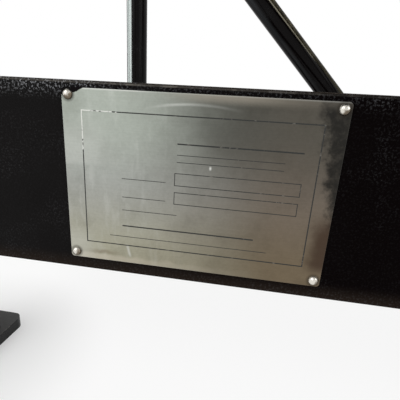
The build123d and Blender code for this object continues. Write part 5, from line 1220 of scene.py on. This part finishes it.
# Conduit box. A sheet steel box on the side of the motor with a screwed cover, and a black cable
# gland in its right-hand side with a rubber insert, which no cable goes through yet.
COVER_SCREW_INSET = 0.0095
INSERT_SIDES = 32
INSERT_STEPS = ((0.0128, 0.0), (0.0128, 0.0006), (0.0112, 0.0016), (0.0096, 0.0016), (0.0092, 0.0004))
dress(["conduit_box", "conduit_cover"], motor_enamel)
dress(["cable_gland"], black_plastic)
lid_low, lid_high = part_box("conduit_cover")
cover_screw_spots = [
    facing((across, lid_low.y, height), FRONT)
    for across in (lid_low.x + COVER_SCREW_INSET, lid_high.x - COVER_SCREW_INSET)
    for height in (lid_low.z + COVER_SCREW_INSET, lid_high.z - COVER_SCREW_INSET)
]
cover_screws = copies(turned(PAN_SCREW_STEPS, PAN_SCREW_SIDES), cover_screw_spots)
settle(cover_screws, "conduit_screws", zinc, "motor")
gland_mouth = box_middle("cable_gland")
gland_mouth.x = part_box("cable_gland")[1].x
insert = turned(INSERT_STEPS, INSERT_SIDES)
insert.matrix_basis = facing(gland_mouth, RIGHT)
settle([insert], "gland_insert", gasket_rubber, "motor")

# Sheaves and belts. Cast iron sheaves with turned grooves carry three V-belts; each belt is a
# moulded rubber loop with a cloth cover.
IRON_DARK = (0.105, 0.102, 0.098)
IRON_TURNED = (0.300, 0.295, 0.285)
BELT_TOP_HALF = 0.00635
BELT_FLOOR_HALF = 0.00360
BELT_DEPTH = 0.0080
BELT_PITCH = 0.0159
BELT_COUNT = 3
BELT_ROUND = 0.0006
BELT_MERGE = 0.00001
SMALL_RADIUS = 0.0500
LARGE_RADIUS = 0.1000
ARC_STEPS = 48
RUN_STEPS = 14


def sheave_iron():
    """Cast iron: dark web, turned rims and grooves, a film of belt dust."""
    iron = Finish("sheave_iron", IRON_DARK, metallic=0.85)
    upright = iron.span(iron.calc("ABSOLUTE", iron.axis("Z", "Normal")), 0.985, 0.95)
    iron.coat(upright, IRON_TURNED)
    film = iron.patches(0.016, 0.40, 0.72, 0.0, 0.6, detail=5.0)
    iron.coat(film, IRON_DARK)
    rings = iron.relief(iron.noise(0.0007, detail=2.0, stretch=(40.0, 40.0, 1.0)), 0.00004)
    iron.surface(Roughness=iron.span(film, 0.0, 1.0, 0.36, 0.60), Normal=rings)
    return iron


dress(["drive_sheave", "driven_sheave"], sheave_iron())
belt_middle = box_middle("v_belts").z
lean = asin((LARGE_RADIUS - SMALL_RADIUS) / (motor_x - mill_x))
small_wrap = pi - 2 * lean
large_wrap = pi + 2 * lean
start_turn = pi / 2 + lean
run_way = Vector((cos(lean), -sin(lean), 0.0))
run_length = (motor_x - mill_x) * cos(lean)
section_radius = SMALL_RADIUS - BELT_DEPTH / 2
section_place = (
    mill_x + section_radius * cos(start_turn),
    section_radius * sin(start_turn),
    belt_middle,
)
bpy.ops.mesh.primitive_plane_add(size=1.0, location=section_place, rotation=(pi / 2, 0.0, start_turn))
belt = bpy.context.object
belt.scale = (BELT_DEPTH, 2 * BELT_TOP_HALF, 1.0)
bpy.ops.object.transform_apply()
narrow = BELT_FLOOR_HALF / BELT_TOP_HALF
mill_axis = (mill_x, 0.0, belt_middle)
motor_axis = (motor_x, 0.0, belt_middle)
back_way = Vector((-run_way.x, run_way.y, 0.0))
with editing("VERT", lambda point: hypot(point.co.x - mill_x, point.co.y) < section_radius):
    bpy.ops.transform.resize(value=(1.0, 1.0, narrow), center_override=section_place)
    bpy.ops.mesh.select_all(action="SELECT")
    bpy.ops.mesh.delete(type="ONLY_FACE")
    bpy.ops.mesh.select_all(action="SELECT")
    for wrap, axis, way in ((small_wrap, mill_axis, run_way), (large_wrap, motor_axis, back_way)):
        bpy.ops.mesh.spin(steps=ARC_STEPS, angle=-wrap, center=axis, axis=UP)
        for step in range(RUN_STEPS):
            extrude(way * (run_length / RUN_STEPS))
    bpy.ops.mesh.select_all(action="SELECT")
    bpy.ops.mesh.remove_doubles(threshold=BELT_MERGE)
    bpy.ops.mesh.normals_make_consistent(inside=False)
apply_modifier(belt, "BEVEL", width=BELT_ROUND, segments=2, limit_method="ANGLE")
belt_rises = [(step - (BELT_COUNT - 1) / 2) * BELT_PITCH for step in range(BELT_COUNT)]
belts = shifted(belt, [UP * rise for rise in belt_rises])
drive_belts = finished(belts, "drive_belts", rubber("belt_rubber"))
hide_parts("v_belts")
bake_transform(drive_belts)

# Belt guard. A folded sheet pan under the drive and a slotted cover over it, sprayed black, held by
# screws through the lip of the cover.
GUARD_SMALL = 0.082
GUARD_LARGE = 0.128
GUARD_SCREW_DROP = 0.008
dress(["guard_pan", "guard_cover"], bed_paint)
guard_screw_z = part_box("guard_cover")[1].z - GUARD_SCREW_DROP
guard_lean = asin((GUARD_LARGE - GUARD_SMALL) / (motor_x - mill_x))
bend = pi / 2 + guard_lean
guard_screw_spots = [
    on_round(middle_x, radius, turn, guard_screw_z)
    for middle_x, radius, end in ((mill_x, GUARD_SMALL, pi), (motor_x, GUARD_LARGE, 0.0))
    for turn in (end, bend, -bend)
]
guard_screws = copies(turned(PAN_SCREW_STEPS, PAN_SCREW_SIDES), guard_screw_spots)
settle(guard_screws, "guard_screws", zinc, "frame")
